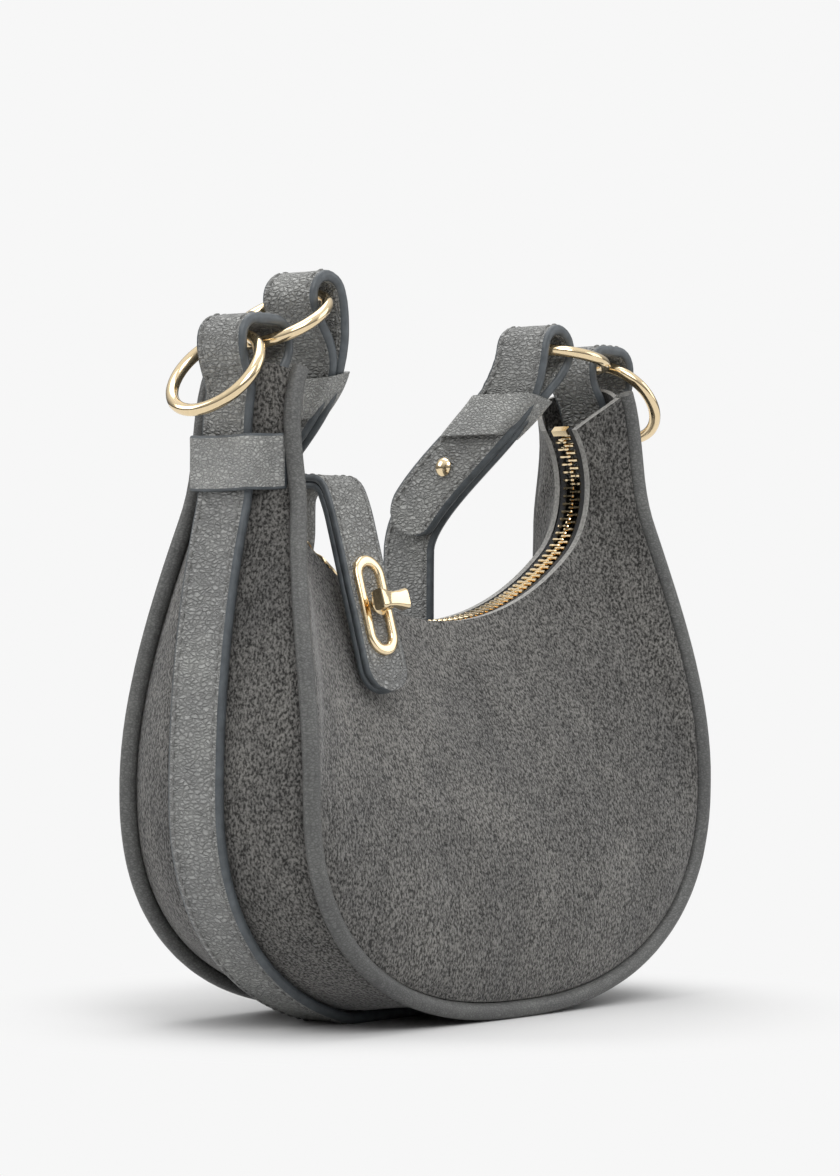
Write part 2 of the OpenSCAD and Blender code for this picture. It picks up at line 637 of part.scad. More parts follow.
module oblong(w, h) {
    hull() for (side = [-1, 1]) translate([0, side * (h - w) / 2]) circle(d = w, $fn = round_fn);
}
module lock_plate() {
    slot_h = plate_h - plate_w + plate_slot_w;
    color("#e6cf9a") at_lock() translate([0, -tab_layer_t, 0]) rotate([90, 0, 0]) linear_extrude(plate_t)
        difference() {
            oblong(plate_w, plate_h);
            oblong(plate_slot_w, slot_h);
        }
}
module lock_back_plate() {
    color("#e6cf9a") at_lock() translate([0, tab_layer_t + plate_t, 0]) rotate([90, 0, 0])
        linear_extrude(plate_t) oblong(back_plate_w, back_plate_h);
}
module lock_post() {
    color("#e6cf9a") at_lock() translate([0, tab_layer_t, 0]) rotate([90, 0, 0])
        cylinder(h = 2 * tab_layer_t + plate_t + post_out, r = post_r, $fn = round_fn);
}
module lock_knob() {
    color("#e6cf9a") at_lock() translate([0, -tab_layer_t - plate_t - soft_gap, 0]) rotate([90, 0, 0])
        difference() {
            union() {
                cylinder(h = post_out - soft_gap + knob_t / 2, r = knob_hub_r, $fn = round_fn);
                translate([-knob_l / 2, -knob_w / 2, post_out - knob_t / 2]) cube([knob_l, knob_w, knob_t]);
            }
            translate([0, 0, -over]) cylinder(h = post_out + over, r = post_r + soft_gap / 3, $fn = round_fn);
        }
}

front_panel();
back_panel();
gusset();
front_piping();
back_piping();
gusset_strap();
left_band();
right_band();
left_tab_loop();
right_tab_loop();
left_outer_ring();
right_outer_ring();
left_strap_ring();
right_strap_ring();
shoulder_strap();
left_keeper();
right_keeper();
strap_stud();
front_zip_tape();
back_zip_tape();
front_zip_teeth();
back_zip_teeth();
left_zip_stop();
right_zip_stop();
zip_slider();
zip_pull();
front_lining();
back_lining();
gusset_lining();
inner_pocket();
base_board();
tab_root();
closure_tab();
tab_backing();
lock_plate();
lock_back_plate();
lock_post();
lock_knob();
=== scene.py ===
import bmesh
import bpy
import json
import math
from bpy.props import FloatProperty, FloatVectorProperty, PointerProperty
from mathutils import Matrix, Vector, noise


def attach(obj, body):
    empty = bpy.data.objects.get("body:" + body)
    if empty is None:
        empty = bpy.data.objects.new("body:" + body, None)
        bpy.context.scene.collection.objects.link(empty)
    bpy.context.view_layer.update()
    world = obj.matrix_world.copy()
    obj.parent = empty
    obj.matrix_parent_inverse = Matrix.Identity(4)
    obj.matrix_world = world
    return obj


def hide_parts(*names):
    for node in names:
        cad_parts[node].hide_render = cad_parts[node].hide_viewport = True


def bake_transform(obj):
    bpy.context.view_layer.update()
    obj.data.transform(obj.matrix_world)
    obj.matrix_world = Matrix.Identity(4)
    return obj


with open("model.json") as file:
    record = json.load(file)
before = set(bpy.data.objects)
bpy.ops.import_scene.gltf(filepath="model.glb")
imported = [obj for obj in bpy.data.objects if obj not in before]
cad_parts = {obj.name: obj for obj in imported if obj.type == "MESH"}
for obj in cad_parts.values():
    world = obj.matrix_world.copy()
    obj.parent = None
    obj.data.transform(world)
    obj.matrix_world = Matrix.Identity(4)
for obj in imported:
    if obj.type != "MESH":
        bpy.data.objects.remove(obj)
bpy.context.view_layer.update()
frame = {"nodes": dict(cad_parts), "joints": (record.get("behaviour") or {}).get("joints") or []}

bl_info = {
    "name": "Half moon bag",
    "version": (1, 0, 0),
    "blender": (4, 5, 0),
    "location": "View3D > Sidebar > Bag",
    "description": "Builds a suede half moon bag with leather strips, rings, a curved zip and a turn lock",
    "category": "Object",
}

JOINTS = {j["name"]: j for j in frame["joints"]}


def length(name, default, text):
    """A length that a user may change."""
    return FloatProperty(name=name, default=default, description=text, unit="LENGTH", precision=5)


def colour(name, default, text):
    """A colour that a user may change."""
    return FloatVectorProperty(
        name=name, default=default, description=text, subtype="COLOR", size=3, min=0, max=1)


class BagSizes(bpy.types.PropertyGroup):
    """Sizes of the bag, in metres."""
    seam_half_w: length("Seam half width", 0.0925, "Half width of the seams at the widest place")
    wide_z: length("Widest height", 0.069, "Height of the widest place")
    horn_z: length("Horn height", 0.189, "Height of the horn tops")
    top_reach: length("Upper reach", 0.174, "Reach of the upper side curve")
    horn_flare: length("Horn flare", 0.0104, "Outward flare of the horns at their tops")
    flare_low_z: length("Flare start", 0.147, "Height where the horns start to flare")
    neck_z: length("Neck height", 0.183, "Height above which the horns keep their depth")
    seam_base_z: length("Seam base", 0.0035, "Height of the seams at the bottom")
    mid_half_d: length("Middle half depth", 0.0355, "Half depth between the seams at the widest place")
    base_half_d: length("Base half depth", 0.035, "Half depth between the seams at the bottom")
    horn_half_d: length("Horn half depth", 0.017, "Half depth between the seams at the horn tops")
    belly: length("Belly", 0.012, "Outward belly of the panels")
    crown: length("Crown", 0.008, "Outward crown of the gusset")
    panel_t: length("Panel thickness", 0.002, "Thickness of the panels")
    gusset_t: length("Gusset thickness", 0.0018, "Thickness of the gusset")
    piping_r: length("Piping radius", 0.0025, "Radius of the piping")
    piping_out: length("Piping stand", 0.001, "How far the piping stands outside the seam")
    mouth_low_z: length("Mouth height", 0.1175, "Height of the mouth's lowest point")
    mouth_r: length("Mouth radius", 0.100, "Radius of the mouth's lower arc")
    mouth_corner_r: length("Mouth corner radius", 0.027, "Radius of the mouth's arcs at the horns")
    mouth_top_z: length("Mouth top", 0.178, "Height where the mouth ends at the horns")
    rim_half_gap: length("Rim half gap", 0.007, "Half gap between the rims")
    strip_w: length("Strip width", 0.020, "Width of the leather strips")
    strip_t: length("Strip thickness", 0.0032, "Thickness of the leather strips")
    loop_w: length("Loop width", 0.018, "Width of the tab loops")
    band_t: length("Band thickness", 0.0018, "Thickness of the bands and keepers")
    band_h: length("Band height", 0.016, "Height of the bands")
    band_top_z: length("Band top", 0.171, "Height of the bands' upper edge")
    ring_r: length("Ring radius", 0.0145, "Radius of the rings to the middle of the wire")
    wire_r: length("Wire radius", 0.0018, "Radius of the rings' wire")
    strap_tunnel_x: length("Strap tunnel", 0.07798, "Distance of the strap rings' tunnels from the middle")
    bend_r: length("Strap bend", 0.044, "Half width of the hanging strap's lower bend")
    bend_z: length("Strap bend height", 0.108, "Height of the centre of the lower bend")
    strap_back_y: length("Strap back", 0.046, "Distance of the hanging strap behind the middle")
    tab_w: length("Tab width", 0.018, "Width of the closure tab")
    tab_layer_t: length("Tab layer", 0.0022, "Thickness of each layer of the tab")
    gap: length("Gap", 0.0003, "Clearance between soft pieces")


class BagColours(bpy.types.PropertyGroup):
    """Colours of the bag's materials, linear."""
    suede: colour("Suede", (0.086, 0.084, 0.080), "Brushed suede")
    leather: colour("Leather", (0.298, 0.300, 0.292), "Pebbled leather")
    smooth_leather: colour("Smooth leather", (0.110, 0.111, 0.108), "Leather of the piping")
    edge: colour("Edge paint", (0.072, 0.082, 0.090), "Painted edges of the leather")
    thread: colour("Thread", (0.150, 0.150, 0.145), "Stitches")
    gold: colour("Gold", (0.860, 0.690, 0.440), "Polished metal")
    tape: colour("Tape", (0.030, 0.031, 0.034), "Zip tape")
    lining: colour("Lining", (0.060, 0.062, 0.066), "Lining")
    board: colour("Board", (0.240, 0.210, 0.170), "Base board")
    backdrop: colour("Backdrop", (0.930, 0.930, 0.930), "Floor and backdrop")


def sizes():
    """The scene's sizes."""
    return bpy.context.scene.bag_sizes


def colours():
    """The scene's colours."""
    return bpy.context.scene.bag_colours


# Small maths


def mix(a, b, share):
    """The value at a share of the way from a to b."""
    return a + (b - a) * share


def ease(value):
    """A smooth step from 0 to 1."""
    v = max(0.0, min(1.0, value))
    return v * v * (3 - 2 * v)


def signed_pow(value, exponent):
    """A power that keeps the sign of its base."""
    return math.copysign(abs(value) ** exponent, value)


def turns(count):
    """Angles evenly round a full turn."""
    return [2 * math.pi * i / count for i in range(count)]


def mirrored(v):
    """A place or direction on the other side of the bag."""
    return Vector((-v.x, v.y, v.z))


def direction(path, i):
    """Direction of a path at its place number i."""
    return (path[min(i + 1, len(path) - 1)] - path[max(i - 1, 0)]).normalized()


def run_lengths(path):
    """Length along a path up to each of its places."""
    marks = [0.0]
    for a, b in zip(path, path[1:]):
        marks.append(marks[-1] + (b - a).length)
    return marks


ACROSS = Vector((0, 1, 0))
FACES = ((-1, "front"), (1, "back"))
SIDES = ((-1, "left"), (1, "right"))


# The bag's outline, from the left horn round the bottom to the right horn

LOW_EXP = 2.36
TOP_EXP = 1.96
CROWN_EXP = 0.5
FLAT_DIR = 0.5
STRIP_ROOM = 0.00045
MOUTH_TURN = math.radians(38)


def outline_turn():
    """Turn of the outline and the angle at which it ends above level, in radians."""
    s = sizes()
    top = math.asin(((s.horn_z - s.wide_z) / s.top_reach) ** (TOP_EXP / 2))
    return math.pi + 2 * top


def outline_angle(w):
    """Angle of the outline at a share."""
    return -math.pi / 2 + (w - 0.5) * outline_turn()


def seam_at(w):
    """Place of the seams at a share, with y = 0."""
    s = sizes()
    a = outline_angle(w)
    high = math.sin(a) > 0
    p = 2 / (TOP_EXP if high else LOW_EXP)
    z = s.wide_z + (s.top_reach if high else s.wide_z - s.seam_base_z) * signed_pow(math.sin(a), p)
    flare = s.horn_flare * ease((z - s.flare_low_z) / (s.horn_z - s.flare_low_z))
    side = math.copysign(1, math.cos(a))
    return Vector((s.seam_half_w * signed_pow(math.cos(a), p) + side * flare, 0, z))


def outward_at(w):
    """Direction out of the outline at a share."""
    t = (seam_at(w + 0.002) - seam_at(w - 0.002)).normalized()
    return Vector((t.z, 0, -t.x))


def half_depth(w):
    """Half depth between the seams at a share."""
    s = sizes()
    a = outline_angle(w)
    if math.sin(a) < 0:
        return mix(s.base_half_d, s.mid_half_d, math.cos(a) ** 2)
    rise = (seam_at(w).z - s.wide_z) / (s.neck_z - s.wide_z)
    return mix(s.mid_half_d, s.horn_half_d, ease(rise))


def crown_at(w):
    """Outward crown of the gusset at a share; the floor presses it flat where the bag stands."""
    s = sizes()
    o = outward_at(w)
    free = s.crown * abs(math.cos(outline_angle(w))) ** CROWN_EXP
    if o.z > -FLAT_DIR:
        return free
    return min(free, seam_at(w).z / -o.z - s.strip_t - STRIP_ROOM)


def right_share(z):
    """Share of the outline at a height on the right side, above the widest place."""
    s = sizes()
    a = math.asin(((z - s.wide_z) / s.top_reach) ** (TOP_EXP / 2))
    return 0.5 + (math.pi / 2 + a) / outline_turn()


def mouth_parts():
    """Centre of the right corner arc, half length of the lower arc and of the whole mouth."""
    s = sizes()
    k = s.mouth_r - s.mouth_corner_r
    corner = Vector((k * math.sin(MOUTH_TURN), 0, s.mouth_low_z + s.mouth_r - k * math.cos(MOUTH_TURN)))
    low = s.mouth_r * MOUTH_TURN
    turn = math.acos((corner.z - s.mouth_top_z) / s.mouth_corner_r) - MOUTH_TURN
    return corner, low, low + s.mouth_corner_r * turn


def mouth_place(d, out=0.0):
    """Place at a distance along the mouth from its lowest point, and its direction away from the centre."""
    s = sizes()
    corner, low, _ = mouth_parts()
    side = math.copysign(1, d)
    if abs(d) < low:
        centre, r, t = Vector((0, 0, s.mouth_low_z + s.mouth_r)), s.mouth_r, abs(d) / s.mouth_r
    else:
        centre, r = Vector((side * corner.x, 0, corner.z)), s.mouth_corner_r
        t = MOUTH_TURN + (abs(d) - low) / r
    away = Vector((side * math.sin(t), 0, -math.cos(t)))
    return centre + away * (r + out), away


def mouth_at(w):
    """Place on the mouth's curve at a share, with y = 0."""
    half = mouth_parts()[2]
    return mouth_place(mix(-half, half, w))[0]


def panel_at(w, share, depth=0.0):
    """Place on the back panel at a depth under its face; share runs from the seam to the mouth."""
    s = sizes()
    room = s.piping_r + s.gap - s.piping_out
    p = (seam_at(w) - outward_at(w) * room).lerp(mouth_at(w), share)
    belly = s.belly * math.sin(math.pi * min(max(w, 0), 1)) ** 1.5
    p.y = mix(half_depth(w), s.rim_half_gap, share) + belly * math.sin(math.pi * share ** 0.8) - depth
    return p


def gusset_at(w, v, out=0.0, trim=None):
    """Place on the gusset; v runs from -1 at the front to 1 at the back."""
    s = sizes()
    half = half_depth(w) - (s.piping_r + s.gap if trim is None else trim)
    p = seam_at(w) + outward_at(w) * (crown_at(w) * (1 - v * v) + out)
    p.y = v * half
    return p


# Mesh helpers


def add_object(name, verts, faces, materials, face_materials=None, sharp_angle=None):
    """A smooth mesh object from vertices and faces."""
    mesh = bpy.data.meshes.new(name)
    mesh.from_pydata([tuple(v) for v in verts], [], faces)
    for m in materials:
        mesh.materials.append(m)
    if face_materials:
        mesh.polygons.foreach_set("material_index", face_materials)
    mesh.validate()
    mesh.polygons.foreach_set("use_smooth", [True] * len(mesh.polygons))
    if sharp_angle:
        mesh.set_sharp_from_angle(angle=math.radians(sharp_angle))
    mesh.update()
    obj = bpy.data.objects.new(name, mesh)
    bpy.context.scene.collection.objects.link(obj)
    return obj


def fix_normals(obj):
    """Turns the faces of a closed mesh to the outside."""
    bm = bmesh.new()
    bm.from_mesh(obj.data)
    bmesh.ops.recalc_face_normals(bm, faces=bm.faces)
    bm.to_mesh(obj.data)
    bm.free()
    obj.data.update()


def dress(obj, body, slot, *nodes):
    """Rides an object on its body and hides the CAD nodes that it stands for; the slot is not used."""
    fix_normals(obj)
    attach(obj, body)
    if nodes:
        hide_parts(*nodes)
    return obj


def thick_grid(name, outer, inner, materials, edge_index=0):
    """A closed sheet between two grids of places; its rim takes the material at edge_index."""
    rows, cols = len(outer), len(outer[0])
    total = rows * cols
    verts = [p for row in outer for p in row] + [p for row in inner for p in row]
    faces = []
    for i in range(rows - 1):
        for j in range(cols - 1):
            a, b = i * cols + j, (i + 1) * cols + j
            faces.append((a, b, b + 1, a + 1))
            faces.append((total + a, total + a + 1, total + b + 1, total + b))
    skin = len(faces)
    rim = [j for j in range(cols)] + [i * cols + cols - 1 for i in range(1, rows)]
    rim += [total - 1 - j for j in range(1, cols)] + [i * cols for i in range(rows - 2, 0, -1)]
    faces += [(a, b, total + b, total + a) for a, b in zip(rim, rim[1:] + rim[:1])]
    marks = [0] * skin + [edge_index] * (len(faces) - skin)
    return add_object(name, verts, faces, materials, marks, 50)


def tube_faces(base, count, n, closed=False):
    """Faces of a tube of count loops of n corners from vertex base; an open tube is capped."""
    faces = []
    for i in range(count if closed else count - 1):
        a, b = base + i * n, base + (i + 1) % count * n
        faces += [(a + j, a + (j + 1) % n, b + (j + 1) % n, b + j) for j in range(n)]
    if not closed:
        end = base + (count - 1) * n
        faces += [tuple(range(base + n - 1, base - 1, -1)), tuple(range(end, end + n))]
    return faces


def tube_loops(name, rings, materials, closed=False, face_material=None, sharp=None):
    """A tube through rings of places, closed to itself or capped."""
    faces = tube_faces(0, len(rings), len(rings[0]), closed)
    marks = None
    if face_material:
        marks = face_material * (len(rings) - 1) + [max(face_material)] * 2
    return add_object(name, [p for r in rings for p in r], faces, materials, marks, sharp)


def strip_profile(width, thickness, edge_r):
    """Cross-section of a leather strip as (across, up, painted), going round from the upper left."""
    across, turns, half = 10, 4, width / 2
    points = []
    for i in range(across + 1):
        u = mix(-half + edge_r, half - edge_r, i / across)
        points.append((u, thickness, 0))
    for i in range(1, turns):
        a = math.pi / 2 - math.pi * i / turns
        points.append((half - edge_r + edge_r * math.cos(a), thickness / 2 + thickness / 2 * math.sin(a), 1))
    for i in range(across + 1):
        points.append((mix(half - edge_r, -half + edge_r, i / across), 0, 0))
    for i in range(1, turns):
        a = -math.pi / 2 - math.pi * i / turns
        points.append((-half + edge_r + edge_r * math.cos(a), thickness / 2 + thickness / 2 * math.sin(a), 1))
    marks = []
    for i, p in enumerate(points):
        q = points[(i + 1) % len(points)]
        marks.append(1 if p[2] or q[2] else 0)
    return points, marks


RELIEF = 0.00012
EDGE_R = 0.0012
THIN_EDGE = 0.0009
BAND_EDGE = 0.0008


def leather_strip(name, stations, width, thickness, leather, edge_r=EDGE_R):
    """A strip through stations of (place, across, up, width share); place is on the underside's middle."""
    points, marks = strip_profile(width, thickness, edge_r)
    rings = []
    for place, across, up, share in stations:
        ring = []
        for u, h, painted in points:
            p = place + across * (u * share) + up * h
            if not painted:
                p += up * (RELIEF * noise.noise(p * 160) * (1 if h > thickness / 2 else -1))
            ring.append(p)
        rings.append(ring)
    return tube_loops(name, rings, [leather, materials()["edge_paint"]], face_material=marks, sharp=60)


def frames_of(path, across, side=1.0):
    """Stations along a path: across is a fixed direction, up is square to it and to the path."""
    stations = []
    for i, p in enumerate(path):
        t = direction(path, i)
        a = (across - t * across.dot(t)).normalized()
        up = t.cross(a).normalized() * side
        stations.append((p, a, up, 1.0))
    return stations


def rounded(path, rounds=2):
    """The path with its corners cut round, ends kept."""
    for _ in range(rounds):
        out = [path[0]]
        for a, b in zip(path, path[1:]):
            out += [a.lerp(b, 0.25), a.lerp(b, 0.75)]
        out.append(path[-1])
        path = out
    return path


def evenly(path, step):
    """The path sampled at even steps along its length."""
    marks = run_lengths(path)
    count = max(2, int(marks[-1] / step))
    out, k = [], 0
    for i in range(count + 1):
        d = marks[-1] * i / count
        while k < len(path) - 2 and marks[k + 1] < d:
            k += 1
        span = marks[k + 1] - marks[k] or 1e-9
        out.append(path[k].lerp(path[k + 1], (d - marks[k]) / span))
    return out


STITCH_SECTIONS = ((-0.5, 0.25, -0.9), (-0.36, 0.9, 0), (0, 1.1, 0.25), (0.36, 0.9, 0), (0.5, 0.25, -0.9))


def stitches(name, rows, material, pitch=0.0036, stitch_l=0.0027, r=0.00038):
    """Rows of stitches; each row is a list of (place, up) along a line on the leather's face."""
    verts, faces = [], []
    sides = 6
    for row in rows:
        d, nxt = 0.0, pitch / 2
        for (p, up), (q, up2) in zip(row, row[1:]):
            seg = (q - p).length
            while seg > 0 and nxt <= d + seg:
                share = (nxt - d) / seg
                c = p.lerp(q, share)
                t = (q - p).normalized()
                n = up.lerp(up2, share).normalized()
                b = t.cross(n).normalized()
                base = len(verts)
                for along, size, sink in STITCH_SECTIONS:
                    m = c + t * (stitch_l * along) + n * (r * sink)
                    for a in turns(sides):
                        verts.append(m + b * (r * size * math.cos(a)) + n * (r * size * math.sin(a)))
                faces += tube_faces(base, len(STITCH_SECTIONS), sides)
                nxt += pitch
            d += seg
    return add_object(name, verts, faces, [material])


def stitch_rows(stations, offset, lift, first=0, last=None):
    """Two rows at an offset from the middle of a strip, on the face at a lift over its underside."""
    part = stations[first:last]
    return [[(p + a * (side * offset) + up * lift, up if lift > 0 else -up) for p, a, up, _ in part]
            for side in (-1, 1)]


# Materials


def new_material(name, base, roughness, metallic=0.0):
    """A material and its shader."""
    m = bpy.data.materials.new(name)
    m.use_nodes = True
    shader = m.node_tree.nodes["Principled BSDF"]
    shader.inputs["Base Color"].default_value = (*base, 1)
    shader.inputs["Roughness"].default_value = roughness
    shader.inputs["Metallic"].default_value = metallic
    return m, shader


def link(m, a, b):
    """A link between two sockets of a material or world."""
    m.node_tree.links.new(a, b)


def node(m, kind, **values):
    """A node in a material or world; a value is set by its name, and a socket is linked there."""
    n = m.node_tree.nodes.new(kind)
    for key, value in values.items():
        if isinstance(value, bpy.types.NodeSocket):
            link(m, value, n.inputs[key])
        elif key in n.inputs:
            n.inputs[key].default_value = value
        else:
            setattr(n, key, value)
    return n


def spread(m, source, from_low, from_high, to_low, to_high, kind="LINEAR"):
    """A value moved from one range to another."""
    ends = {"From Min": from_low, "From Max": from_high, "To Min": to_low, "To Max": to_high}
    return node(m, "ShaderNodeMapRange", interpolation_type=kind, Value=source, **ends).outputs["Result"]


def own_space(m, **change):
    """Place in the object's own space, scaled or turned."""
    where = node(m, "ShaderNodeTexCoord").outputs["Object"]
    return node(m, "ShaderNodeMapping", Vector=where, **change).outputs["Vector"]


def place_noise(m, scale, detail=3.0, rough=0.55, stretch=(1, 1, 1), distortion=0.0):
    """Noise in the object's own space."""
    return node(m, "ShaderNodeTexNoise", Vector=own_space(m, Scale=stretch), Scale=scale, Detail=detail,
                Roughness=rough, Distortion=distortion)


def ramp(m, source, low, high, a, b):
    """Source turned to a colour between a and b from low to high."""
    r = node(m, "ShaderNodeValToRGB")
    r.color_ramp.elements[0].position = low
    r.color_ramp.elements[1].position = high
    r.color_ramp.elements[0].color = (*a, 1)
    r.color_ramp.elements[1].color = (*b, 1)
    link(m, source, r.inputs["Fac"])
    return r.outputs["Color"]


def tinted(base, factor):
    """A colour made lighter or darker."""
    return tuple(min(1.0, c * factor) for c in base)


def bump(m, shader, *heights):
    """A chain of bumps of (height socket, distance in metres, strength)."""
    normal = None
    for socket, distance, strength in heights:
        b = node(m, "ShaderNodeBump", Height=socket, Strength=strength, Distance=distance)
        if normal:
            link(m, normal, b.inputs["Normal"])
        normal = b.outputs["Normal"]
    link(m, normal, shader.inputs["Normal"])


def joint_value(m, operation, a, b):
    """Two values put together by an operation."""
    n = node(m, "ShaderNodeMath", operation=operation)
    link(m, a, n.inputs[0])
    link(m, b, n.inputs[1])
    return n.outputs[0]


def mixed_shader(m, share, a, b):
    """Shader a, or b where share is 1."""
    n = node(m, "ShaderNodeMixShader")
    for i, socket in enumerate((share, a.outputs[0], b.outputs[0])):
        link(m, socket, n.inputs[i])
    return n.outputs[0]


def tones(m, shader, source, low, high, base, dark, light):
    """Base colour between a darker and a lighter tone of a base."""
    link(m, ramp(m, source, low, high, tinted(base, dark), tinted(base, light)), shader.inputs["Base Color"])


def set_inputs(shader, values):
    """Sets inputs of a shader by name."""
    for key, value in values.items():
        shader.inputs[key].default_value = value


def blended(m, a, b, mode, factor):
    """Two colours put together by a mode."""
    n = node(m, "ShaderNodeMix", data_type="RGBA", blend_type=mode)
    n.inputs[0].default_value = factor
    link(m, a, n.inputs[6])
    link(m, b, n.inputs[7])
    return n.outputs[2]


def suede_material():
    """Brushed suede: a short fibrous nap, blotches where it lies another way, and a soft sheen."""
    base = colours().suede
    m, shader = new_material("suede", base, 0.95)
    fibre = place_noise(m, 1450, 1, 0.6, (1, 1, 0.7), 0.2).outputs["Fac"]
    clump = place_noise(m, 300, 4, 0.75, (1, 1, 0.8), 0.3).outputs["Fac"]
    patch = place_noise(m, 34, 5, 0.65, (1, 1, 0.9), 0.6).outputs["Fac"]
    fine = ramp(m, fibre, 0.36, 0.66, tinted(base, 0.10), tinted(base, 2.6))
    mid = ramp(m, clump, 0.38, 0.64, tinted(base, 0.55), tinted(base, 1.5))
    wide = ramp(m, patch, 0.3, 0.70, (0.70, 0.70, 0.71), (1.20, 1.19, 1.17))
    nap = blended(m, fine, mid, "MIX", 0.28)
    link(m, blended(m, nap, wide, "MULTIPLY", 1.0), shader.inputs["Base Color"])
    bump(m, shader, (patch, 0.0010, 0.3), (clump, 0.0006, 0.9), (fibre, 0.0004, 1.0))
    set_inputs(shader, {"Sheen Weight": 0.35, "Sheen Roughness": 0.45, "Sheen Tint": (0.8, 0.8, 0.8, 1),
                        "Specular IOR Level": 0.15})
    return m


def leather_material(name, base, grain, strength, roughness):
    """Leather with a creased grain, fine pores, a little wear and painted shade in the grain's grooves."""
    m, shader = new_material(name, base, roughness)
    where = node(m, "ShaderNodeTexCoord").outputs["Object"]
    warp = place_noise(m, grain * 0.4, 3, 0.6)
    bent = node(m, "ShaderNodeMix", data_type="VECTOR")
    bent.inputs[0].default_value = 0.0018
    link(m, where, bent.inputs[4])
    link(m, warp.outputs["Color"], bent.inputs[5])
    squeezed = node(m, "ShaderNodeMapping", Vector=bent.outputs[1], Scale=(1, 0.75, 1.5)).outputs["Vector"]
    cells = node(m, "ShaderNodeTexVoronoi", feature="DISTANCE_TO_EDGE", Scale=grain, Vector=squeezed)
    ridge = ramp(m, cells.outputs["Distance"], 0.0, 0.30, (0, 0, 0), (1, 1, 1))
    pebbles = node(m, "ShaderNodeTexVoronoi", feature="F1", Scale=grain, Vector=squeezed)
    creases = place_noise(m, 90, 5, 0.65, (1, 1, 3.0), 1.5).outputs["Fac"]
    fine = place_noise(m, grain * 3, 3, 0.6).outputs["Fac"]
    patch = place_noise(m, 45, 4, 0.6).outputs["Fac"]
    # Painted shade: the colour darkens along the grain's grooves, where shade falls.
    groove_shade = ramp(m, ridge, 0.0, 0.8, tinted(base, 0.62), tinted(base, 1.08))
    varied = ramp(m, pebbles.outputs["Color"], 0.1, 0.9, (0.86, 0.86, 0.86), (1.15, 1.15, 1.15))
    wide = ramp(m, patch, 0.3, 0.72, (0.84, 0.84, 0.85), (1.16, 1.16, 1.14))
    grained = blended(m, groove_shade, varied, "MULTIPLY", 1.0)
    link(m, blended(m, grained, wide, "MULTIPLY", 1.0), shader.inputs["Base Color"])
    link(m, spread(m, fine, 0, 1, roughness - 0.07, roughness + 0.12), shader.inputs["Roughness"])
    bump(m, shader, (creases, 0.0016, 0.5 * strength), (ridge, 0.0006, strength), (fine, 0.0001, 0.4))
    set_inputs(shader, {"Specular IOR Level": 0.5})
    return m


def edge_material():
    """Painted leather edge, slightly uneven."""
    m, shader = new_material("edge_paint", colours().edge, 0.42)
    n = place_noise(m, 300, 3, 0.6).outputs["Fac"]
    tones(m, shader, n, 0.3, 0.75, colours().edge, 0.75, 1.35)
    bump(m, shader, (n, 0.0002, 0.5))
    return m


def gold_material():
    """Polished pale gold with faint hairlines."""
    m, shader = new_material("gold", colours().gold, 0.12, 1.0)
    n = place_noise(m, 900, 2, 0.5, (1, 1, 0.1)).outputs["Fac"]
    link(m, spread(m, n, 0, 1, 0.07, 0.17), shader.inputs["Roughness"])
    tones(m, shader, n, 0.2, 0.8, colours().gold, 0.95, 1.03)
    return m


def woven_material(name, base, scale, roughness=0.85):
    """Twill or plain cloth: two crossed waves."""
    m, shader = new_material(name, base, roughness)
    waves = [node(m, "ShaderNodeTexWave", Scale=scale, Distortion=1.0, Vector=own_space(m, Rotation=turn))
             for turn in ((0.0, 0.6, 0.8), (0.0, -0.7, 0.5))]
    weave = blended(m, waves[0].outputs["Color"], waves[1].outputs["Color"], "MULTIPLY", 0.7)
    tones(m, shader, weave, 0.05, 0.8, base, 0.55, 1.5)
    bump(m, shader, (weave, 0.0003, 0.6))
    set_inputs(shader, {"Sheen Weight": 0.15})
    return m


def thread_material():
    """Waxed thread."""
    m, shader = new_material("thread", colours().thread, 0.6)
    n = place_noise(m, 2500, 2, 0.5).outputs["Fac"]
    tones(m, shader, n, 0.3, 0.7, colours().thread, 0.7, 1.3)
    bump(m, shader, (n, 0.0001, 0.5))
    return m


def cut_edge_material():
    """Cut edge of the suede, where the paler skin shows."""
    m, shader = new_material("cut_edge", (0.36, 0.355, 0.34), 0.8)
    n = place_noise(m, 1200, 3, 0.6).outputs["Fac"]
    link(m, ramp(m, n, 0.3, 0.7, (0.20, 0.20, 0.19), (0.42, 0.41, 0.39)), shader.inputs["Base Color"])
    return m


MADE = {}


def materials():
    """All materials by name, made once."""
    if not MADE:
        c = colours()
        MADE.update({
            "suede": suede_material(),
            "leather": leather_material("pebbled_leather", c.leather, 640, 1.0, 0.36),
            "smooth_leather": leather_material("smooth_leather", c.smooth_leather, 900, 0.2, 0.42),
            "band_leather": leather_material("band_leather", tinted(c.leather, 1.22), 850, 0.7, 0.38),
            "inner_leather": leather_material("inner_leather", tinted(c.leather, 0.8), 620, 0.5, 0.55),
            "edge_paint": edge_material(),
            "gold": gold_material(),
            "thread": thread_material(),
            "tape": woven_material("twill_tape", c.tape, 900),
            "lining": woven_material("lining_cloth", c.lining, 700),
            "board": woven_material("board_cloth", c.board, 500, 0.7),
            "cut_edge": cut_edge_material(),
        })
    return MADE


class Piece:
    """What the operators of the pieces share: build makes the piece."""

    def execute(self, context):
        self.build(materials(), sizes())
        return {"FINISHED"}


# Pieces of the body


OUTLINE_STEPS = 168
PANEL_STEPS = 44
UNDULATION = 0.0009


def soft_lift(p, share_from_edge):
    """Small rise and fall of a soft wall, none at its sewn edges."""
    wave = noise.noise(p * 32) + 0.5 * noise.noise(p * 75 + Vector((3, 1, 7)))
    return UNDULATION * wave * share_from_edge


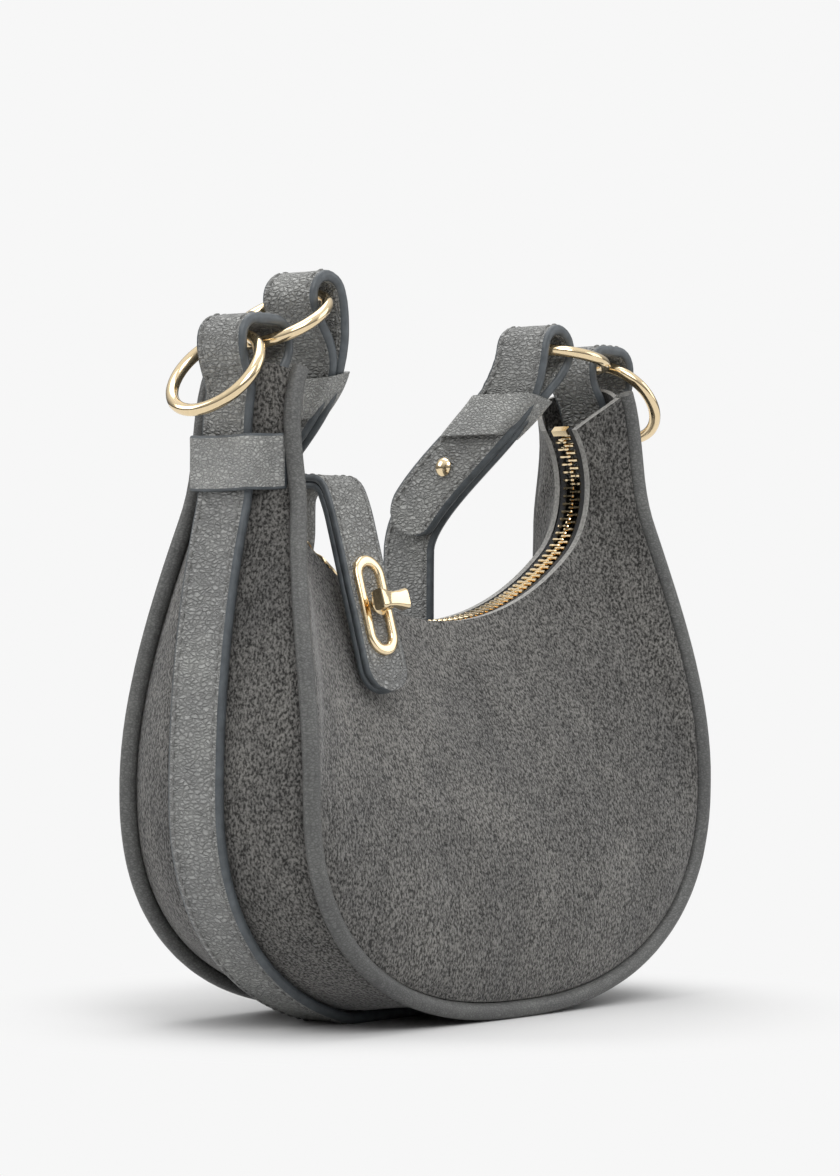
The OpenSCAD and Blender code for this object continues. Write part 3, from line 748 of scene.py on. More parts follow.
def layer_grids(place, w0, w1, steps, across, depth, t):
    """Outer and inner grids of a layer of thickness t; place takes shares along and across, and a depth."""
    return [[[place(mix(w0, w1, i / steps), j / across, d) for j in range(across + 1)]
             for i in range(steps + 1)] for d in (depth, depth + t)]


def wall_grids(side, w0, w1, s0, s1, steps, across, depth, t, soft=True):
    """Outer and inner grids of the front (side -1) or back (side 1) wall."""
    def place(w, q, d):
        share = mix(s0, s1, q)
        p = panel_at(w, share, d)
        if soft:
            edge = min(1, 6 * share) * min(1, 6 * (1 - share))
            p.y += soft_lift(Vector((p.x, side * p.y, p.z)), edge)
        return Vector((p.x, side * p.y, p.z))
    grids = layer_grids(place, w0, w1, steps, across, depth, t)
    return grids if side > 0 else grids[::-1]


def gusset_grids(w0, w1, steps, across, trim, depth, t, soft=True):
    """Outer and inner grids of a layer of the gusset."""
    def place(w, q, d):
        v = 2 * q - 1
        p = gusset_at(w, v, -d, trim)
        if soft and abs(v) > 0.35:
            p += outward_at(w) * (soft_lift(p, min(1, 3 * (1 - abs(v)))) * 0.6)
        return p
    return layer_grids(place, w0, w1, steps, across, depth, t)


class BAG_OT_panels(Piece, bpy.types.Operator):
    """Front and back panels of suede."""
    bl_idname = "bag.panels"
    bl_label = "Panels"

    def build(self, m, s):
        for side, name in FACES:
            grids = wall_grids(side, 0, 1, 0, 1, OUTLINE_STEPS, PANEL_STEPS, 0, s.panel_t)
            obj = thick_grid(f"{name}_suede", *grids, [m["suede"], m["cut_edge"]], 1)
            dress(obj, "bag", "suede", f"{name}_panel")


class BAG_OT_gusset(Piece, bpy.types.Operator):
    """Suede gusset round the sides and the bottom."""
    bl_idname = "bag.gusset"
    bl_label = "Gusset"

    def build(self, m, s):
        grids = gusset_grids(0, 1, OUTLINE_STEPS, 24, None, 0, s.gusset_t)
        obj = thick_grid("gusset_suede", *grids, [m["suede"], m["cut_edge"]], 1)
        dress(obj, "bag", "suede", "gusset")


class BAG_OT_piping(Piece, bpy.types.Operator):
    """Leather piping on both seams."""
    bl_idname = "bag.piping"
    bl_label = "Piping"

    def build(self, m, s):
        sides = 20
        for side, name in FACES:
            rings = []
            for i in range(OUTLINE_STEPS + 1):
                w = i / OUTLINE_STEPS
                o = outward_at(w)
                c = seam_at(w) + o * s.piping_out
                ring = []
                for a in turns(sides):
                    r = s.piping_r * (1 + 0.02 * noise.noise(Vector((w * 90, side, a))))
                    p = c + o * (r * math.cos(a))
                    p.y = side * half_depth(w) - side * r * math.sin(a)
                    ring.append(p)
                rings.append(ring if side > 0 else ring[::-1])
            obj = tube_loops(f"{name}_piping_leather", rings, [m["smooth_leather"]], sharp=50)
            dress(obj, "bag", "leather", f"{name}_piping")


# Leather strips


STRIP_INSET = 0.0026
LOOP_INSET = 0.0024
TAB_INSET = 0.0022


def strip_line(w):
    """Place on the underside of the strip along the gusset."""
    return seam_at(w) + outward_at(w) * (crown_at(w) + STRIP_ROOM)


def left_share(z):
    """Share of the outline at a height on the left side."""
    return 1 - right_share(z)


class BAG_OT_gusset_strip(Piece, bpy.types.Operator):
    """Pebbled strip along the middle of the gusset, with painted edges and two rows of stitches."""
    bl_idname = "bag.gusset_strip"
    bl_label = "Gusset strip"

    def build(self, m, s):
        w0 = left_share(s.band_top_z - s.band_h / 2)
        path = evenly([strip_line(mix(w0, 1 - w0, i / 400)) for i in range(401)], 0.0022)
        along = [direction(path, i) for i in range(len(path))]
        stations = [(p, -ACROSS, Vector((t.z, 0, -t.x)), 1.0) for p, t in zip(path, along)]
        obj = leather_strip("gusset_strip", stations, s.strip_w, s.strip_t, m["leather"])
        dress(obj, "bag", "leather", "gusset_strap")
        rows = stitch_rows(stations, s.strip_w / 2 - STRIP_INSET, s.strip_t)
        sewn = stitches("gusset_strip_stitches", rows, m["thread"])
        dress(sewn, "bag", "leather")


def band_middle(v):
    """1 where a band lies over the strip, easing to 0 beside it."""
    return 1 - ease((abs(v) - 0.68) / 0.16)


def band_lift(v):
    """Rise of a band over the strip under it."""
    s = sizes()
    return (s.strip_t + STRIP_ROOM + s.gap) * band_middle(v)


class BAG_OT_bands(Piece, bpy.types.Operator):
    """Leather band across the gusset of each horn."""
    bl_idname = "bag.bands"
    bl_label = "Bands"

    def build(self, m, s):
        for side, name in SIDES:
            stations = []
            for i in range(49):
                v = 2 * i / 48 - 1
                bow = 0.0008 * (1 - v * v)
                w = left_share(s.band_top_z - s.band_h / 2 - bow)
                flat = crown_at(w) * v * v * band_middle(v)
                p = gusset_at(w, v, s.gap + band_lift(v) + flat)
                o = outward_at(w)
                across = Vector((o.z, 0, -o.x))
                stations.append((p, across, o, 1.0))
            if side > 0:
                stations = [(mirrored(p), -mirrored(a), mirrored(u), k) for p, a, u, k in stations]
            obj = leather_strip(f"{name}_band_leather", stations, s.band_h, s.band_t, m["band_leather"],
                                BAND_EDGE)
            dress(obj, "bag", "band_leather", f"{name}_band")


RING_GAP = 0.00075
STRAP_RING_GAP = 0.00095


def sagitta(width):
    """Rise of a ring's wire over a strip of a width."""
    r = sizes().ring_r
    return r - math.sqrt(r * r - width * width / 4)


def tunnel_r():
    """Inner radius of the tab loops."""
    s = sizes()
    return sagitta(s.loop_w) / 2 + s.wire_r + RING_GAP


def tunnel_z():
    """Height of the tunnels, which the rings' joints share."""
    return JOINTS["strap_swing"]["pos_m"][2]


def tab_loop_path():
    """Underside of the left tab loop: up the outside, over both rings and down inside the horn."""
    s = sizes()
    r = tunnel_r()
    z = tunnel_z()
    x_strap, x_outer = -s.strap_tunnel_x, -s.strap_tunnel_x - 2 * r
    low = s.band_top_z - s.band_h / 2
    path = [strip_line(left_share(mix(low, s.horn_z - 0.007, i / 8))) for i in range(9)]
    path.append(Vector((x_outer - r, 0, z - r)))
    for i in range(9):
        a = math.pi - math.pi / 2 * i / 8
        path.append(Vector((x_outer + r * math.cos(a), 0, z + r * math.sin(a))))
    for i in range(9):
        a = math.pi / 2 * (1 - i / 8)
        path.append(Vector((x_strap + r * math.cos(a), 0, z + r * math.sin(a))))
    path.append(Vector((x_strap + r, 0, z - r)))
    for i in range(9):
        w = left_share(mix(s.horn_z - 0.001, low, i / 8))
        v = s.loop_w / 2 / (half_depth(w) - s.piping_r - s.gap)
        inside = crown_at(w) * (1 - v * v) - s.gusset_t - 2.5 * STRIP_ROOM
        path.append(seam_at(w) + outward_at(w) * inside)
    return path


class BAG_OT_tab_loops(Piece, bpy.types.Operator):
    """Leather tab at each horn that loops over the rings, with its stitches."""
    bl_idname = "bag.tab_loops"
    bl_label = "Tab loops"

    def build(self, m, s):
        path = evenly(rounded(tab_loop_path(), 2), 0.0012)
        for side, name in SIDES:
            line = path if side < 0 else [mirrored(p) for p in path]
            stations = frames_of(line, ACROSS, 1 if side < 0 else -1)
            obj = leather_strip(f"{name}_loop_leather", stations, s.loop_w, s.strip_t, m["leather"])
            dress(obj, "bag", "leather", f"{name}_tab_loop")
            shown = [k for k, st in enumerate(stations) if st[0].z > s.band_top_z]
            rows = stitch_rows(stations, s.loop_w / 2 - LOOP_INSET, s.strip_t, shown[0], shown[-1] - 12)
            cross = []
            for k in (shown[0] + 15, shown[0] + 17):
                p, a, up, _ = stations[k]
                cross.append([(p + a * mix(-0.0064, 0.0064, q / 6) + up * s.strip_t, up) for q in range(7)])
            sewn = stitches(f"{name}_loop_stitches", rows + cross, m["thread"])
            dress(sewn, "bag", "leather")


# Rings and the shoulder strap


def ring_mesh(name, hinge_x, reach, body, cad_node):
    """Round ring whose wire turns in a tunnel and reaches out along a direction in the XZ plane."""
    s = sizes()
    to_centre = s.ring_r - sagitta(s.loop_w) / 2
    centre = Vector((hinge_x, 0, tunnel_z())) + reach * to_centre
    rings = []
    for a in turns(96):
        out = reach * math.cos(a) + ACROSS * math.sin(a)
        up = reach.cross(ACROSS)
        rings.append([centre + out * (s.ring_r + s.wire_r * math.cos(b)) + up * (s.wire_r * math.sin(b))
                      for b in turns(20)])
    obj = tube_loops(name, rings, [materials()["gold"]], closed=True)
    return dress(obj, body, "gold", cad_node)


LEFT_RISE = math.radians(32)
RIGHT_RISE = math.radians(10)
OUTER_LEAN = math.radians(40)


class BAG_OT_rings(Piece, bpy.types.Operator):
    """Two round rings at each horn."""
    bl_idname = "bag.rings"
    bl_label = "Rings"

    def build(self, m, s):
        outer_x = s.strap_tunnel_x + 2 * tunnel_r()
        for side, name, rise in ((-1, "left", LEFT_RISE), (1, "right", RIGHT_RISE)):
            ring_mesh(f"{name}_strap_ring_wire", side * s.strap_tunnel_x,
                      Vector((-side * math.cos(rise), 0, math.sin(rise))), "strap", f"{name}_strap_ring")
            ring_mesh(f"{name}_outer_ring_wire", side * outer_x,
                      Vector((side * math.sin(OUTER_LEAN), 0, -math.cos(OUTER_LEAN))),
                      f"{name}_ring", f"{name}_outer_ring")


BACK_START_Z = 0.2016
BACK_END_Z = 0.140
CONVERGE_L = 0.020
INRUN_EXP = 3.5
STEP = 0.001


def ring_end(rise):
    """Middle of the strap's eye at a ring, on the +X side, as (x, z)."""
    s = sizes()
    reach = s.ring_r - sagitta(s.loop_w) / 2 + s.ring_r - sagitta(s.strip_w) / 2
    return (s.strap_tunnel_x - reach * math.cos(rise), tunnel_z() + reach * math.sin(rise))


def strap_y(z):
    """Way of the strap back behind the bag at a height."""
    return sizes().strap_back_y * ease((BACK_START_Z - z) / (BACK_START_Z - BACK_END_Z))


def branch_x(z, end):
    """Middle of a branch of the strap at a height."""
    s = sizes()
    return s.bend_r + (end[0] - s.bend_r) * max(0, min(1, (z - s.bend_z) / (end[1] - s.bend_z))) ** INRUN_EXP


def branch_dir(z, end):
    """Upward direction of a branch at a height, as (x, z)."""
    z = min(z, end[1] - STEP)
    d = Vector((branch_x(z + STEP, end) - branch_x(z - STEP, end), 2 * STEP))
    return d.normalized()


def branch_gap(z, end):
    """Distance of each layer from the middle of a branch."""
    s = sizes()
    pair = (s.strip_t + s.gap) / 2
    eye = sagitta(s.strip_w) / 2 + s.wire_r + STRAP_RING_GAP + s.strip_t / 2
    return mix(pair, eye, ease((z - (end[1] - CONVERGE_L)) / CONVERGE_L))


def layer_at(z, end, side):
    """Place in a layer of a branch, as (x, z)."""
    d = branch_dir(z, end)
    k = side * branch_gap(z, end)
    return (branch_x(z, end) + k * d.y, z - k * d.x)


def half_route(end, tip_z):
    """Route from a short end's tip over its ring and down to the bend, on the +X side."""
    s = sizes()
    eye = branch_gap(end[1], end)
    d = branch_dir(end[1], end)
    route = [layer_at(mix(tip_z, end[1], i / 16), end, -1) for i in range(17)]
    for i in range(1, 16):
        a = math.pi * i / 16
        route.append((end[0] + eye * (-math.cos(a) * d.y + math.sin(a) * d.x),
                      end[1] + eye * (math.cos(a) * d.x + math.sin(a) * d.y)))
    route += [layer_at(mix(end[1], s.bend_z, i / 40), end, 1) for i in range(41)]
    return route


def in_space(p):
    """A place of the strap's route in space."""
    return Vector((p[0], strap_y(p[1]), p[1]))


RIGHT_TIP_Z = 0.146
LEFT_TIP_Z = 0.164
STUD_Z = 0.166
STUD = ((0.0, 0.0), (0.0022, 0.0), (0.0030, 0.0004), (0.0030, 0.0008), (0.0024, 0.0015), (0.0013, 0.0020),
        (0.0, 0.0021))


def strap_stations():
    """Stations along the whole strap, on its middle layer."""
    s = sizes()
    r = s.bend_r + (s.strip_t + s.gap) / 2
    right = half_route(ring_end(RIGHT_RISE), RIGHT_TIP_Z)
    left = [(-x, z) for x, z in reversed(half_route(ring_end(LEFT_RISE), LEFT_TIP_Z))]
    bend = [(r * math.cos(a), s.bend_z + r * math.sin(a)) for a in (-math.pi * i / 30 for i in range(1, 30))]
    path = evenly([in_space(p) for p in right + bend + left], 0.0015)
    return frames_of(path, ACROSS, -1)


def tip_widths(stations, width, ends=("start", "end"), corner=0.42):
    """Stations with rounded ends: their width shares follow a circle's arc near each tip."""
    r = width * corner
    marks = run_lengths([st[0] for st in stations])
    out = []
    for d, (p, across, up, _) in zip(marks, stations):
        share = 1.0
        for end, near in (("start", d), ("end", marks[-1] - d)):
            if end in ends and near < r:
                drop = r - math.sqrt(max(0.0, r * r - (r - near) ** 2))
                share = min(share, 1 - 2 * drop / width)
        out.append((p, across, up, share))
    return out


class BAG_OT_strap(Piece, bpy.types.Operator):
    """Shoulder strap with doubled ends, painted edges, stitches and its stud."""
    bl_idname = "bag.strap"
    bl_label = "Strap"

    def build(self, m, s):
        middle = strap_stations()
        stations = tip_widths([(p - up * (s.strip_t / 2), a, up, k) for p, a, up, k in middle], s.strip_w)
        obj = leather_strip("strap_leather", stations, s.strip_w, s.strip_t, m["leather"])
        dress(obj, "strap", "leather", "shoulder_strap")
        inset = s.strip_w / 2 - STRIP_INSET
        rows = stitch_rows(stations, inset, s.strip_t, 4, -4) + stitch_rows(stations, inset, -0.00001, 4, -4)
        dress(stitches("strap_stitches", rows, m["thread"]), "strap", "leather")
        self.stud()

    def stud(self):
        """Domed stud on the right short end."""
        s = sizes()
        end = ring_end(RIGHT_RISE)
        d = branch_dir(STUD_Z, end)
        x, z = layer_at(STUD_Z, end, -1)
        out = Vector((-d.y, 0, d.x))
        base = in_space((x, z)) + out * (s.strip_t / 2 + s.gap / 2)
        dress(lathe("strap_stud_dome", base, out, STUD), "strap", "gold", "strap_stud")


def lathe(name, base, axis, profile, steps=40):
    """A turned metal piece from a profile of (radius, height) about an axis."""
    axis = axis.normalized()
    side = axis.orthogonal().normalized()
    other = axis.cross(side)
    rings = [[base + axis * h + (side * math.cos(a) + other * math.sin(a)) * max(r, 1e-5)
              for a in turns(steps)] for r, h in profile]
    return tube_loops(name, rings, [materials()["gold"]], sharp=40)


KEEPER_L = 0.012
KEEPER_GAP = 0.0008
KEEPERS = ((-1, "left", LEFT_RISE, 0.028), (1, "right", RIGHT_RISE, 0.021))


class BAG_OT_keepers(Piece, bpy.types.Operator):
    """Leather keeper round both layers at each end of the strap."""
    bl_idname = "bag.keepers"
    bl_label = "Keepers"

    def build(self, m, s):
        for side, name, rise, drop in KEEPERS:
            end = ring_end(rise)
            outer, inner = [], []
            for i in range(9):
                z = end[1] - drop + KEEPER_L * (i / 8 - 0.5)
                d = branch_dir(z, end)
                c = in_space((branch_x(z, end), z))
                n = Vector((d.y, 0, -d.x))
                half_t = branch_gap(z, end) + s.strip_t / 2 + KEEPER_GAP
                half_w = s.strip_w / 2 + KEEPER_GAP
                swell = 0.0003 * math.sin(math.pi * i / 8)
                for loops, grow in ((outer, s.band_t + swell), (inner, s.gap)):
                    loop = [c + n * (u * (half_t + grow)) + ACROSS * (v * (half_w + grow))
                            for u, v in keeper_profile(half_w / half_t)]
                    loops.append([mirrored(p) for p in loop] if side < 0 else loop)
            rings = outer + inner[::-1]
            obj = tube_loops(f"{name}_keeper_leather", rings, [m["band_leather"]], True, sharp=50)
            dress(obj, "strap", "band_leather", f"{name}_keeper")


def keeper_profile(aspect):
    """Loop round a rounded rectangle, as shares of its half sizes."""
    high = 0.35 / max(1.0, aspect / 2)
    return [(signed_pow(math.cos(a), 0.35), signed_pow(math.sin(a), high)) for a in turns(48)]


# Zip


TOOTH_PITCH = 0.00254
TAPE_ROOM = 0.0004
TAPE_T = 0.0008
STOP_L = 0.002
SLIDER_L = 0.009


def chain_place(d, lift=0.0, y=0.0):
    """A place at a distance along the chain, at a lift from its middle away from the mouth's centre."""
    p, _ = mouth_place(d, TAPE_ROOM + TAPE_T / 2 + lift)
    return Vector((p.x, y, p.z))


def chain_r():
    """Radius of the chain along the mouth's lower arc."""
    return sizes().mouth_r + TAPE_ROOM + TAPE_T / 2


def slider_d():
    """Distance of the slider along the lower arc."""
    s = sizes()
    return -(s.mouth_r * MOUTH_TURN - SLIDER_L / 2 * s.mouth_r / chain_r())


# One tooth as half sizes at places along Y: (y, half length along the arc, half height)
TOOTH_SECTIONS = ((0.0032, 0.00052, 0.00115), (0.0019, 0.00050, 0.00120), (0.0009, 0.00034, 0.00105),
                  (0.0002, 0.00052, 0.00120), (-0.0005, 0.00050, 0.00110), (-0.0008, 0.00030, 0.00080))


def cut_corners(u, v):
    """Square of half size 1 whose corners are cut at u and v, as eight places."""
    return ((-1, -v), (-u, -1), (u, -1), (1, -v), (1, v), (u, 1), (-u, 1), (-1, v))


class BAG_OT_zip(Piece, bpy.types.Operator):
    """Zip: tapes, two rows of meshed teeth and the stops."""
    bl_idname = "bag.zip"
    bl_label = "Zip"

    def build(self, m, s):
        half = mouth_parts()[2]
        count = int((2 * (half - STOP_L - s.gap) - 0.001) / TOOTH_PITCH - 0.5) + 1
        first = -(count - 0.5) * TOOTH_PITCH / 2
        for side, name, shift in ((1, "back", 0.0), (-1, "front", 0.5)):
            verts, faces = [], []
            for i in range(count):
                self.tooth(verts, faces, first + (i + shift) * TOOTH_PITCH, side)
            teeth = add_object(f"{name}_teeth_metal", verts, faces, [m["gold"]], None, 35)
            dress(teeth, "bag", "zip_metal", f"{name}_zip_teeth")
            edge = s.rim_half_gap - s.panel_t - s.gap
            grids = layer_grids(lambda d, q, lift: chain_place(d, lift, side * mix(0.0030, edge, q)),
                                -half, half, 160, 4, -TAPE_T / 2, TAPE_T)
            tape = thick_grid(f"{name}_tape_cloth", *grids, [m["tape"]])
            dress(tape, "bag", "tape", f"{name}_zip_tape")
        for name in ("left_zip_stop", "right_zip_stop"):
            stop = frame["nodes"][name]
            stop.data.materials.clear()
            stop.data.materials.append(m["gold"])

    def tooth(self, verts, faces, d, side):
        """Adds one tooth at a distance along the chain."""
        middle, away = mouth_place(d, TAPE_ROOM + TAPE_T / 2)
        along = Vector((-away.z, 0, away.x))
        base = len(verts)
        for y, half_arc, half_r in TOOTH_SECTIONS:
            for u, v in cut_corners(0.6, 0.6):
                verts.append(middle + away * (v * half_r) + along * (u * half_arc) + Vector((0, side * y, 0)))
        faces += tube_faces(base, len(TOOTH_SECTIONS), 8)


def plate_outline(points, lift0, lift1, bevel, place):
    """Rings of a bevelled plate from an outline about its middle, for tube_loops."""
    rings = []
    for lift, shrink in ((lift0, bevel), (lift0 + bevel * 0.3, bevel * 0.3), (lift0 + bevel, 0),
                         (lift1 - bevel, 0), (lift1 - bevel * 0.3, bevel * 0.3), (lift1, bevel)):
        ring = []
        for u, v in points:
            k = 1 - shrink / max(math.hypot(u, v), 1e-6)
            ring.append(place(u * k, v * k, lift))
        rings.append(ring)
    return rings


def oblong_points(w, h, steps=64):
    """Outline of a slot-shaped plate of a width and a height."""
    r = w / 2
    return [(r * math.cos(a), r * math.sin(a) + math.copysign(h / 2 - r, math.sin(a))) for a in turns(steps)]


SHIELD_HALF = 0.0045
SHIELD_T = 0.0012
SHIELD_LIFTS = (-0.0028, 0.0016)
BLADE = ((-0.003, -0.00042), (-0.003, 0.00042), (0.003, 0.00042), (0.003, -0.00042))
BRIDGE_HALF_L = 0.0024
BRIDGE_RISE = 0.0029
BRIDGE_HALF_W = 0.00125
BRIDGE_HALF_T = 0.0004
PULL_HALF_T = 0.0007
PULL_EYE_R, PULL_WIRE_R = 0.0012, 0.0005
PULL_HALF_W = ((0.0, 0.0008), (0.0040, 0.0008), (0.0052, 0.0022), (0.0070, 0.0025), (0.0120, 0.0025),
               (0.0145, 0.0021), (0.0157, 0.0012), (0.0160, 0.0004))


class BAG_OT_slider(Piece, bpy.types.Operator):
    """Zip slider with its bridge, and the pull that hangs on it."""
    bl_idname = "bag.slider"
    bl_label = "Slider"

    def build(self, m, s):
        gold = m["gold"]
        inner, outer = SHIELD_LIFTS
        shield = []
        for a in turns(48):
            u, v = SHIELD_HALF * signed_pow(math.cos(a), 0.6), SHIELD_HALF * signed_pow(math.sin(a), 0.6)
            shield.append((u, v * (1 - 0.16 * (u / SHIELD_HALF))))
        parts = []
        for lift in SHIELD_LIFTS:
            rings = plate_outline(shield, lift, lift + SHIELD_T, 0.0004,
                                  lambda u, v, lift: chain_place(slider_d() + u, lift, v))
            parts.append(tube_loops("slider_plate", rings, [gold], sharp=40))
        blade = [[chain_place(slider_d() + u, mix(inner, outer + SHIELD_T, q), y) for u, y in BLADE]
                 for q in (0.02, 0.98)]
        parts.append(tube_loops("slider_blade", blade, [gold], sharp=40))
        parts.append(self.bridge(inner))
        obj = joined("slider_metal", parts)
        dress(obj, "slider", "zip_metal", "zip_slider")
        self.pull()

    def bridge(self, inner):
        """Arch on the slider that the pull hangs from."""
        out = -mouth_place(slider_d())[1]
        along = out.cross(ACROSS)
        rings = []
        for i in range(17):
            a = math.pi * i / 16
            u, h = -BRIDGE_HALF_L * math.cos(a), BRIDGE_RISE * math.sin(a) ** 0.7
            centre = chain_place(slider_d() + u, inner + BRIDGE_HALF_T - h)
            n = (out * math.sin(a) - along * math.cos(a)).normalized()
            rings.append([centre + Vector((0, y * BRIDGE_HALF_W, 0)) + n * (t * BRIDGE_HALF_T)
                          for y, t in cut_corners(0.7, 0.6)])
        return tube_loops("slider_bridge", rings, [materials()["gold"]], sharp=50)

    def pull(self):
        """Slim tag with an eye and a rounded end."""
        pin = Vector(JOINTS["zip_pull_flip"]["pos_m"])
        inward = -mouth_place(slider_d())[1]
        along = inward.cross(ACROSS)
        if along.z > 0:
            along = -along
        rings = []
        for d, w in PULL_HALF_W:
            c = pin + along * d
            rings.append([c + Vector((0, w * y, 0)) + inward * (PULL_HALF_T * t)
                          for y, t in cut_corners(0.8, 0.5)])
        tag = tube_loops("pull_tag", rings, [materials()["gold"]], sharp=50)
        eye = [[pin + (along * math.cos(a) + inward * math.sin(a)) * (PULL_EYE_R + PULL_WIRE_R * math.cos(b))
                + Vector((0, PULL_HALF_T * math.sin(b), 0)) for b in turns(10)]
               for a in turns(24)]
        obj = joined("pull_metal", [tag, tube_loops("pull_eye", eye, [materials()["gold"]], closed=True)])
        dress(obj, "pull", "zip_metal", "zip_pull")


def joined(name, parts):
    """One object from several."""
    verts, faces, marks, mats = [], [], [], list(parts[0].data.materials)
    for p in parts:
        base = len(verts)
        verts += [v.co.copy() for v in p.data.vertices]
        faces += [tuple(base + i for i in f.vertices) for f in p.data.polygons]
        marks += [f.material_index for f in p.data.polygons]
        bpy.data.objects.remove(p)
    return add_object(name, verts, faces, mats, marks, 40)


# Inside of the bag


LINING_START = 0.075
LINING_GAP = 0.001
LINING_T = 0.0006
POCKET_T = 0.0008
BOARD_T = 0.0015


class BAG_OT_linings(Piece, bpy.types.Operator):
    """Linings, the inner pocket and the base board."""
    bl_idname = "bag.linings"
    bl_label = "Linings"

    def build(self, m, s):
        w, t, gap = LINING_START, LINING_T, LINING_GAP
        trim = s.piping_r + s.gap + s.panel_t + gap
        wall, under = s.panel_t + gap, s.gusset_t + gap
        for side, name in FACES:
            grids = wall_grids(side, w, 1 - w, 0.03, 0.93, 80, 16, wall, t, False)
            self.layer(f"{name}_lining_cloth", f"{name}_lining", "lining", grids)
        grids = gusset_grids(w, 1 - w, 80, 10, trim, under, t, False)
        self.layer("gusset_lining_cloth", "gusset_lining", "lining", grids)
        grids = wall_grids(1, 0.3, 0.7, 0.25, 0.8, 40, 12, wall + t + gap, POCKET_T, False)
        self.layer("pocket_cloth", "inner_pocket", "lining", grids)
        grids = gusset_grids(0.34, 0.66, 40, 8, trim + gap, under + t + gap, BOARD_T, False)
        self.layer("base_board_cloth", "base_board", "board", grids)

    def layer(self, name, cad_node, slot, grids):
        """One layer of cloth or board."""
        dress(thick_grid(name, *grids, [materials()[slot]]), "bag", slot, cad_node)


# Closure tab and turn lock


ROOT_FOOT = (0.0199, 0.1127)
ROOT_RIM = (0.00995, 0.1378)
ROOT_TURN_R = 0.006
FOLD_START = 0.006


def tab_fold():
    """Place of the closure tab's fold."""
    return Vector(JOINTS["tab_lift"]["pos_m"])


def lock_place():
    """Place of the lock's axis on the tab."""
    return Vector(JOINTS["knob_turn"]["pos_m"])


def lock_axes():
    """Directions of the lock: across, down along the tab, and out of its face."""
    out = Vector(JOINTS["knob_turn"]["axis"]).normalized()
    across = Vector((1, 0, 0))
    down = (lock_place() - tab_fold()).normalized()
    return across, down, out


class BAG_OT_tab(Piece, bpy.types.Operator):
    """Closure tab: one strip from behind the back rim over the mouth and down in front."""
    bl_idname = "bag.tab"
    bl_label = "Closure tab"

    def build(self, m, s):
        fold, (_, down, out) = tab_fold(), lock_axes()
        x = fold.x
        tab_l = (fold - lock_place()).length / 0.6
        turn_z = fold.z - ROOT_TURN_R
        corners = [Vector((x, *ROOT_FOOT)), Vector((x, *ROOT_RIM)), Vector((x, ROOT_RIM[0], turn_z))]
        turn_y = ROOT_RIM[0] - ROOT_TURN_R
        corners += [Vector((x, turn_y + ROOT_TURN_R * math.cos(a), turn_z + ROOT_TURN_R * math.sin(a)))
                    for a in (math.pi / 2 * i / 5 for i in range(1, 6))]
        corners += [Vector((x, mix(0.003, fold.y + FOLD_START, i / 3), fold.z)) for i in range(1, 4)]
        corners += [fold + Vector((0, 0.0012, -0.0003)), fold + down * 0.008,
                    fold + down * 0.016, fold + down * tab_l]
        line = evenly(rounded(corners, 3), 0.0013)
        stations = frames_of(line, Vector((1, 0, 0)), 1)
        if stations[-1][2].dot(out) < 0:
            stations = frames_of(line, Vector((1, 0, 0)), -1)
        t = s.tab_layer_t
        stations = tip_widths(stations, s.tab_w, ("end",))
        outer = leather_strip("tab_outer_leather", stations, s.tab_w, t, m["leather"], THIN_EDGE)
        under = [(p - up * t, a, up, k) for p, a, up, k in stations]
        inner = leather_strip("tab_inner_leather", under, s.tab_w - 0.0004, t, m["inner_leather"], THIN_EDGE)
        r = s.tab_w / 2 - TAB_INSET
        rows = stitch_rows(stations, r, t, 2, -7)
        tip_row = []
        end = stations[-1][0] - down * (r + TAB_INSET)
        for i in range(13):
            a = math.pi * i / 12
            place = end + Vector((r * math.cos(a), 0, 0)) + down * (r * 0.9 * math.sin(a)) + out * t
            tip_row.append((place, out))
        sewn = stitches("tab_stitches", rows + [tip_row], m["thread"], 0.003, 0.0022, 0.00028)
        for obj, nodes in ((outer, ("closure_tab", "tab_root")), (inner, ("tab_backing",)), (sewn, ())):
            fix_normals(obj)
            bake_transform(obj)
            if nodes:
                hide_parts(*nodes)


PLATE_T = 0.0014
PLATE_SIZE = (0.013, 0.030)
PLATE_HOLE = (0.0065, 0.0235)
PLATE_SECTION = ((0.0, 0.0), (0.0, 0.5), (0.08, 0.85), (0.25, 1.0), (0.75, 1.0), (0.92, 0.85), (1.0, 0.5),
                 (1.0, 0.0))
BACK_SIZE = (0.010, 0.024)
PRONG_V = 0.0085
PRONG = ((0.0, 0.0), (0.0014, 0.0), (0.0014, 0.0006), (0.0008, 0.0012), (0.0, 0.0013))
POST = ((0.0, 0.0), (0.0020, 0.0), (0.0020, 0.0096), (0.0017, 0.0103), (0.0, 0.0103))
HUB = ((0.0023, 0.0), (0.0032, 0.0), (0.0034, 0.0005), (0.0030, 0.0012), (0.0026, 0.0024), (0.0028, 0.0038),
       (0.0024, 0.0046))
BAR_ENDS = ((-1.0, 0.80), (-0.96, 0.97), (-0.85, 1.0), (-0.45, 0.80), (0.0, 0.72), (0.45, 0.80), (0.85, 1.0),
            (0.96, 0.97), (1.0, 0.80))
BAR_HALF = (0.006, 0.0031, 0.0021)
BAR_LIFT = 0.0050
HUB_GAP = 0.0003


